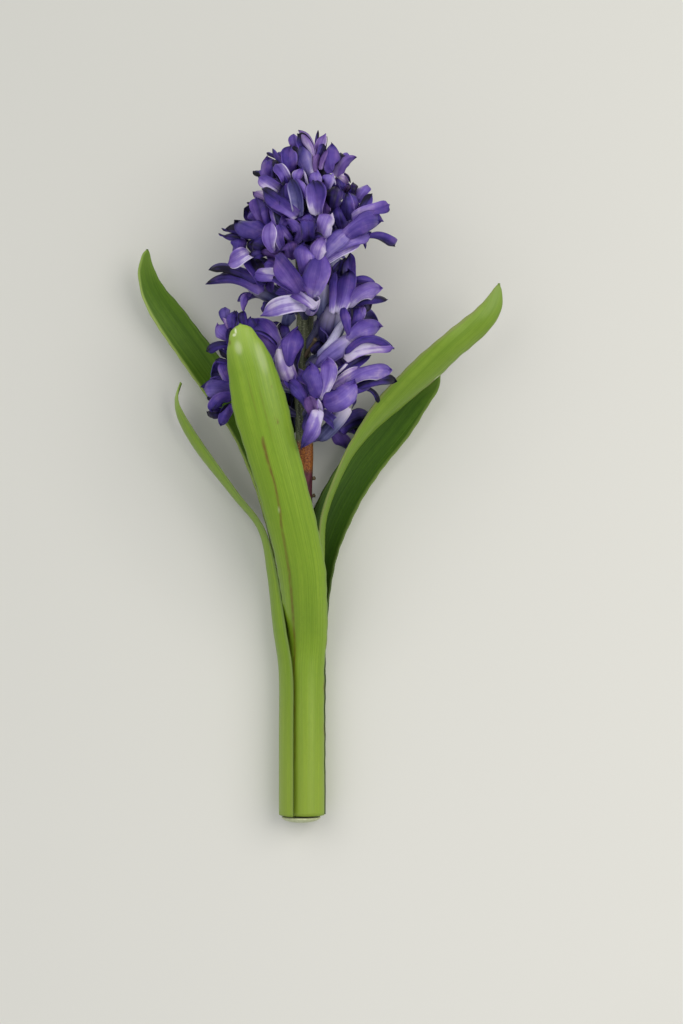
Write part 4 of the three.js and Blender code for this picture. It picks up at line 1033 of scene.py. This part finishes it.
LEAF_RIGHT_REAR = [
    bundled(0, 8.1, 292, 138), bundled(30, 8.1, 292, 138), bundled(58, 8.1, 294, 134),
    [3.8, 80, 1.1, 16.6, 118, -20], [4.7, 99, 2.1, 16.8, 105, -10], [7.6, 113, 3, 18, 95, -5],
    [14.1, 128.5, 4, 17.6, 85, -3], [23.5, 143.8, 5, 17.4, 80, 0], [34.2, 156.9, 7, 16.8, 76, 0],
    [45.4, 171, 10, 13.6, 72, 0], [50.9, 175.6, 11.5, 9, 64, 0], [54.7, 179.8, 13, 1.6, 40, 0],
]


def along_rows(rows, t):
    """A Catmull-Rom curve through the rows: each stretch is a cubic whose slopes at both ends are
    half the difference of the neighbouring rows."""
    table = np.array(rows, float)
    last = len(table) - 1
    at = np.minimum(np.asarray(t) * last, last - 1e-9)
    i = np.floor(at).astype(int)
    f = (at - i)[:, None]
    a, b, c, d = (table[np.clip(i + k, 0, last)] for k in (-1, 0, 1, 2))
    slope, after, rise = 0.5 * (c - a), 0.5 * (d - b), c - b
    return b + f * (slope + f * (3 * rise - 2 * slope - after + f * (slope + after - 2 * rise)))


STATIONS, CELLS = 240, 50  # along a leaf and across it
TIP_ROUND = 2.2  # mm from the end where the tip starts to round off


def leaf_grid(rows, thick_foot, thick_tip):
    """The blade's middle surface. A station's arc bends from the rib towards the hollow face:
    across by R sin a, and towards the hollow by R (1 - cos a), where R is the width over the
    arc. Returns the grid, the thickness, and where its points are in millimetres."""
    t = 1 - np.linspace(1, 0, STATIONS) ** 1.5
    table = along_rows(rows, t)
    rib = table[:, :3]
    step = 0.5 / (len(rows) - 1)
    ahead = along_rows(rows, np.minimum(t + step, 1))
    behind = along_rows(rows, np.maximum(t - step, 0))
    along = unit(ahead[:, :3] - behind[:, :3])
    side = unit(np.cross(along, UP))
    above = np.cross(side, along)
    steps = np.linalg.norm(np.diff(rib, axis=0), axis=1)
    run = np.concatenate([[0], np.cumsum(steps)])[:, None]
    to_tip = run[-1] - run
    left = np.clip(to_tip / TIP_ROUND, 0.0004, 1)
    width = table[:, 3:4] * np.sqrt(1 - (1 - left) ** 2)
    arc, turn = np.radians(table[:, 4:5]), np.radians(table[:, 5:6])
    hollow = side * np.sin(turn) + above * np.cos(turn)
    across = np.cross(along, hollow)
    radius = width / arc
    u = np.linspace(-1, 1, CELLS + 1)
    a = u * arc / 2
    thick = (thick_foot + (thick_tip - thick_foot) * t)[:, None] * (1 - 0.62 * u**2)
    # a slow swell of the skin between the main veins
    swell = 0.02 * np.cos(u * width * 2.1) * smooth(0.0, 0.2, 1 - np.abs(u))
    deep = radius * (1 - np.cos(a)) + (0.5 * thick - swell) * np.cos(a)
    out = (radius - 0.5 * thick + swell) * np.sin(a)
    # the last millimetre of each margin wanders a little
    wander = 0.22 * np.sin(0.21 * run) * np.sin(0.057 * run + 1.3) + 0.1 * np.sin(0.83 * run)
    out = out + wander * u**9 * smooth(0, 30, run) * smooth(2, 14, to_tip)
    grid = rib[:, None] + across[:, None] * out[..., None] + hollow[:, None] * deep[..., None]
    values = {
        "along_mm": run, "across_mm": u * width / 2, "edge_mm": (1 - np.abs(u)) * width / 2,
        "from_tip_mm": to_tip,
    }
    return grid, thick, values


# %% [markdown]
# ## Leaf skin
# The outer face is a bright yellow green with a thin bloom of wax, and its gloss is partly painted
# on as pale highlights. Its veins run along the leaf about a millimetre apart and show as faint
# lines. The inner face is a darker green, and painted shade darkens it towards the bundle. The
# margins are paler and let light through. Noise stretched along the leaf gives the streaks.


# %% Leaf finish
def leaf_finish(name, pale, dark, edge, tip, gloss, shine, painted_shade_foot=0.0):
    """Streaks of a pale and a dark green, with colours of their own on the margins and on the
    last 18 mm to the tip. Painted shade darkens its foot as much as painted_shade_foot says."""
    material, tree = new_finish(
        name, Roughness=gloss, Specular_IOR_Level=shine, Subsurface_Weight=0.08,
        Subsurface_Radius=(0.5, 1.0, 0.2), Subsurface_Scale=1.5 * MM,
    )
    along, across, from_edge, from_tip, marked_rim, scarred, pale_mark_and_highlight = (
        add(tree, "stored number", attribute_name=key)
        for key in ("along_mm", "across_mm", "edge_mm", "from_tip_mm", "rim", "scar", "pale_mark_and_highlight")
    )

    def streaks(fine, long, detail):
        """Noise with features 1/fine mm across and 1/long mm along."""
        across_it, along_it = add(tree, "product", across, fine), add(tree, "product", along, long)
        return add(tree, "noise", add(tree, "vector", across_it, along_it), 1.0, detail)

    broad = add(tree, "rise", streaks(0.3, 0.018, 3.0), 0.05, 0.95)
    fine = add(tree, "rise", streaks(2.4, 0.012, 2.0), 0.42, 0.62)
    blotch = add(tree, "rise", streaks(0.8, 0.3, 4.0), 0.45, 0.7, 0.0, 0.3)
    rim = add(tree, "rise", from_edge, 0.4, 1.4, 0.85, 0.0)
    mottle = add(tree, "rise", streaks(1.5, 0.25, 3.0), 0.3, 0.6, 0.45, 1.0)
    colour = add(tree, "colour mix", broad, dark, pale)
    # how much of which colour is laid over, one after the other
    layers = [
        (add(tree, "product", fine, 0.6), dark),
        (blotch, dark),
        (add(tree, "product", rim, marked_rim), edge),
        (add(tree, "rise", from_tip, 0.0, 18.0, 0.6, 0.0), tip),
        # the bundle is yellower, and painted shade darkens the inner face down towards it, where the leaves
        # lie over one another
        (add(tree, "rise", along, 0.0, 90.0, 0.5, 0.0), "#93a63c"),
        (add(tree, "rise", along, 65.0, 160.0, painted_shade_foot, 0.0), "#1f3316"),
        # brown scars, and pale marks with painted highlights
        (add(tree, "product", scarred, mottle), "#6c5d1d"),
        (pale_mark_and_highlight, "#dfe6c0"),
    ]
    for share, code in layers:
        colour = add(tree, "colour mix", share, colour, code)
    coat(tree, colour, streaks(1.6, 0.015, 1.0), 0.16, 0.4)
    return material


leaf_outside = leaf_finish(
    "hyacinth leaf outer skin", "#8baa2c", "#6c8d1c", "#6f8a3c", "#9db850", 0.38, 0.36
)
leaf_inside = leaf_finish(
    "hyacinth leaf inner skin", "#5c7f1b", "#3b5c0b", "#9cb25c", "#68842c", 0.5, 0.22, 0.6
)
# a darker copy of the inner skin: painted shade for the inner faces of the two right leaves, which lie in
# shade
leaf_shaded = leaf_finish(
    "shaded hyacinth leaf inner skin", "#527718", "#2e5009", "#9cb25c", "#5c7a24", 0.5, 0.22, 0.85
)
# a duller copy of the outer skin, for the right leaf
leaf_duller_outside = leaf_finish(
    "duller hyacinth leaf outer skin", "#85a133", "#65861f", "#7c8548", "#7f9a44", 0.42, 0.3
)


# %% The five leaves
def marked(values, lines, spots):
    """How strongly each place is marked. A line is rows of along, across, half width, strength,
    joined up, and a spot is along, across, half length, half width, strength. The strength falls
    off as e^-d^4, d being the distance in half widths."""
    run, aside = values["along_mm"], values["across_mm"]
    marks = np.zeros(aside.shape)
    for line in lines:
        line = np.array(line, float)
        aim, wide, strength = (np.interp(run, line[:, 0], line[:, k]) for k in (1, 2, 3))
        beside = (run > line[0, 0]) & (run < line[-1, 0])
        marks = np.maximum(marks, beside * strength * np.exp(-(((aside - aim) / wide) ** 4)))
    for along, across, long, wide, strength in spots:
        off = np.hypot((run - along) / long, (aside - across) / wide)
        marks = np.maximum(marks, strength * np.exp(-(off**4)))
    return marks


def make_leaf(
    name, rows, thick_foot, thick_tip, rims=(1, 1), scars=(), specks=(), pale_marks_and_highlights=(),
    inner=leaf_inside, outer=leaf_outside,
):
    """The blade of one leaf. Rims says how much its two margins take on the rim's colour."""
    grid, thick, values = leaf_grid(rows, thick_foot, thick_tip)
    values["scar"] = marked(values, scars, specks)
    values["pale_mark_and_highlight"] = marked(values, (), pale_marks_and_highlights)
    values["rim"] = np.where(values["across_mm"] < 0, *rims)
    piece = make_blades(name + "_blade", grid[None], thick[None], values, [inner, outer])
    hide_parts(name)
    return piece


# the old brown tear on the front leaf, that runs into its seam with the left leaf
TEAR = [
    [22, 2.4, 0.3, 0.5], [35, 2.4, 0.35, 0.7], [63, 3, 0.5, 0.8], [80, 4.2, 0.65, 0.8],
    [99, 4.7, 0.7, 0.85], [109, 4.7, 0.6, 0.7], [124, 4, 0.55, 0.9], [130, 3, 0.55, 0.75],
    [143, 2.3, 0.5, 0.95], [152, 2.6, 0.65, 1], [159, 2.4, 0.75, 1], [161.5, 2.3, 0.6, 0.9],
    [162, 2.3, 0.5, 0],
]
leaf_front = make_leaf(
    "leaf_front", LEAF_FRONT, 2.3, 1.2, rims=(0.7, 0.9), scars=[TEAR],
    specks=[
        [165.9, -5.3, 0.9, 0.5, 0.7], [168, -4.6, 0.5, 0.4, 0.5], [179.9, -6.5, 0.6, 0.4, 0.6],
        [178, 2, 9, 0.35, 0.3], [172, -1.5, 12, 0.3, 0.3], [201, 6.2, 1.2, 0.9, 0.75],
        [69.5, -11.8, 1.4, 0.7, 0.7], [52.4, -11.7, 2.2, 0.8, 0.8], [35, -12, 2.5, 0.8, 0.8],
    ],
    # pale spots: those from 192 mm to the tip are painted highlights of the glossy hooded tip, with a pale
    # fleck at its end, and the two on the tear are pale marks
    pale_marks_and_highlights=[
        [204.6, 2.3, 1.2, 0.45, 0.9], [203.2, 3.2, 0.6, 0.8, 0.8], [198, 2.6, 2.6, 1.5, 0.3],
        [192, -5.4, 6.5, 1.9, 0.2], [161.6, 1.6, 0.4, 0.6, 0.5], [131, 3.4, 0.3, 0.5, 0.25],
    ],
)
leaf_left = make_leaf(
    "leaf_left", LEAF_LEFT, 1.8, 1.1, rims=(1, 0.6),
    scars=[[[2, 1.2, 0.3, 0.55], [60, 1.6, 0.3, 0.4], [110, 2.2, 0.25, 0.25]]],
)
leaf_back = make_leaf("leaf_back", LEAF_BACK, 1.5, 1.1, rims=(1, 0.1))
leaf_right = make_leaf(
    "leaf_right", LEAF_RIGHT, 1.5, 1.1, rims=(0.5, 1),
    scars=[[[182, -7.6, 0.5, 0.6], [188, -7.8, 0.5, 0.8], [194, -7.6, 0.8, 0.9]]],
    pale_marks_and_highlights=[[196, -7.4, 1.2, 0.7, 0.6]], inner=leaf_shaded, outer=leaf_duller_outside,
)
leaf_right_rear = make_leaf(
    "leaf_right_rear", LEAF_RIGHT_REAR, 2.2, 1.1, rims=(0.2, 0.45), inner=leaf_shaded
)

# %% [markdown]
# ## The stalk
# The stalk is a round fleshy stem with low ridges that run down from each floret's foot. It is
# grey green in the head, rust orange just below it and dull maroon further down.


# %% Stalk surface
def stem_grid(places, radii, around, ridge):
    """Rings round a line of places: radius times (1 + ridge cos 7 angle + 0.6 ridge cos 11
    angle)."""
    along = unit(np.gradient(places, axis=0))
    first = unit(np.cross(along, [1.0, 0.0, 0.0]))
    second = np.cross(along, first)
    angle = np.linspace(0, 2 * np.pi, around, endpoint=False)
    run = np.arange(len(places))[:, None]
    shape = 1 + ridge * (np.cos(7 * angle + 0.02 * run) + 0.6 * np.cos(11 * angle + 1.3))
    r = (radii[:, None] * shape)[..., None]
    cos, sin = np.cos(angle)[:, None], np.sin(angle)[:, None]
    return places[:, None] + r * (first[:, None] * cos + second[:, None] * sin)


def closed_tube(grid):
    """Quads of a tube whose rings are closed, with a fan of quads to a middle point at each end."""
    rings, around = grid.shape[:2]
    at = np.arange(rings * around).reshape(rings, around)
    after = np.roll(at, -1, axis=1)
    quads = np.stack([at[:-1], after[:-1], after[1:], at[1:]], -1).reshape(-1, 4)
    points = np.concatenate([grid.reshape(-1, 3), [grid[0].mean(0), grid[-1].mean(0)]])
    # a fan's quad takes in the middle point and three points of the ring
    low, low_next, top, top_next = at[0], after[0], at[-1], after[-1]
    foot_middle, top_middle = np.full((2, around // 2), [[rings * around], [rings * around + 1]])
    foot = np.stack([low[::2], foot_middle, low_next[1::2], low[1::2]], -1)
    head = np.stack([top[::2], top[1::2], top_next[1::2], top_middle], -1)
    return points, np.concatenate([quads, foot, head])


def stalk_finish():
    """Streaked and grainy green with a brown right side, then rust, maroon and leaf green going
    down. The heights are metres from the middle of the flower."""
    material, tree = new_finish("hyacinth stalk skin", Roughness=0.55)
    where = add(tree, "place")
    x, y = add(tree, "x", where), add(tree, "y", where)
    streak = add(tree, "noise", add(tree, "stretch", where, (900.0, 60.0, 900.0)), 1.0, 3.0)
    grain = add(tree, "noise", where, 1900.0, 3.0)
    wide = add(tree, "rise", streak, 0.35, 0.65)
    brown = add(
        tree, "product", add(tree, "rise", x, 0.0004, 0.0016), add(tree, "rise", y, 0.04, 0.05)
    )
    flecks = add(tree, "rise", grain, 0.58, 0.68, 0.0, 0.75)
    green = add(tree, "colour mix", wide, "#384028", "#6a7150")
    green = add(tree, "colour mix", add(tree, "product", brown, 0.8), green, "#5a3c20")
    green = add(tree, "colour mix", flecks, green, "#aeb398")
    rust = add(tree, "colour mix", add(tree, "rise", grain, 0.38, 0.62), "#6b3414", "#ad6a2c")
    maroon = add(tree, "colour mix", wide, "#4a2230", "#6d3644")
    colour = add(tree, "colour mix", add(tree, "rise", y, 0.0125, 0.0165), rust, green)
    below_head = add(tree, "rise", y, 0.0015, 0.0045, 1.0, 0.0)
    colour = add(tree, "colour mix", below_head, colour, maroon)
    in_bundle = add(tree, "rise", y, -0.014, -0.008, 1.0, 0.0)
    colour = add(tree, "colour mix", in_bundle, colour, "#6f8a3c")
    coat(tree, colour, streak, 0.4, 0.4)
    return material


# %% Stalk and bare pedicels
STALK_RADIUS = 3.4
STALK_RINGS = 240
BLEND = 13  # rings over which the stalk's kinks are rounded off

run = np.linspace(STALK_LINE[0, 1], STALK_LINE[-1, 1], STALK_RINGS)
places = stalk_at(run)
kernel = np.hanning(BLEND) / np.hanning(BLEND).sum()
padded = np.pad(places, ((BLEND // 2, BLEND // 2), (0, 0)), mode="edge")
for k in (0, 2):
    places[:, k] = np.convolve(padded[:, k], kernel, "valid")
radii = STALK_RADIUS * np.interp(run, [0, 225, 240, 257], [1, 1, 0.75, 0.6])
points, quads = closed_tube(stem_grid(places, radii, 48, 0.035))
stalk = make_piece("stalk", points, quads, [stalk_finish()])

# pedicels that have lost their floret: height, turn, reach, rise along the stalk
STUBS = [[129, 12, 4.5, 0.3], [136, 20, 4.6, 0.3], [184, 65, 13, 0.64]]
stub_skin, _ = new_finish("dry pedicel", Base_Color=linear("#75664c"), Roughness=0.7)
parts, faces = [], []
for height, turn, reach, rise in STUBS:
    a = math.radians(turn)
    aim = np.array([math.cos(a), rise, math.sin(a)]) * reach
    share = np.linspace(0, 1, 24)
    bent = stalk_at(height) + share[:, None] * aim - 0.5 * np.sin(np.pi * share)[:, None] * UP
    thin = 0.95 - 0.3 * smooth(0.3, 0.8, share) + 0.18 * smooth(0.88, 1, share)
    stub_points, stub_quads = closed_tube(stem_grid(bent, thin, 20, 0.05))
    faces.append(stub_quads + len(parts) * len(stub_points))
    parts.append(stub_points)
stubs = make_piece("bare_pedicels", np.concatenate(parts), np.concatenate(faces), [stub_skin])

head = (florets_top, florets_low, petals_top, petals_low, tubes_open, stalk, stubs)
for piece in head:
    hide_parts("flower_stalk")

# %% [markdown]
# ## The slice of the bulb's base
# The leaves end on a thin pale disc, the top of the bulb's basal plate. Its cut face is slightly
# domed and fibrous, cream with a green cast.

# %% Base disc
# from the middle of its upper face to the middle of its cut face: radius, place along the flower
PROFILE = np.array([
    [0.02, 0.0], [5.4, 0.0], [7.0, 0.0], [7.5, -0.15], [7.6, -0.45], [7.2, -0.95], [6.4, -1.45],
    [5.0, -1.95], [2.8, -2.32], [0.02, -2.4],
])
WIDER = 1.05  # how much wider the disc is from left to right than up and down
DISC_MIDDLE = np.array([-1.9, -0.8, BUNDLE_HEIGHT + 0.35])

angle = np.linspace(0, 2 * np.pi, 96, endpoint=False)
corner, rings = np.arange(len(PROFILE)), np.linspace(0, len(PROFILE) - 1, 46)
radius, along = (np.interp(rings, corner, PROFILE[:, k])[:, None] for k in range(2))
ways = [WIDER * radius * np.cos(angle), along + 0 * angle, radius * np.sin(angle)]
points, quads = closed_tube(DISC_MIDDLE + np.stack(ways, -1))

plate_skin, tree = new_finish("cut bulb base", Roughness=0.6)
fibres = add(tree, "noise", add(tree, "place"), 900.0, 4.0)
cream = add(tree, "colour mix", add(tree, "rise", fibres, 0.35, 0.7), "#b3ba8a", "#c9cfa9")
coat(tree, cream, fibres, 0.4, 0.4)
plate = make_piece("base_disc", points, quads, [plate_skin])
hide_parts("basal_plate")
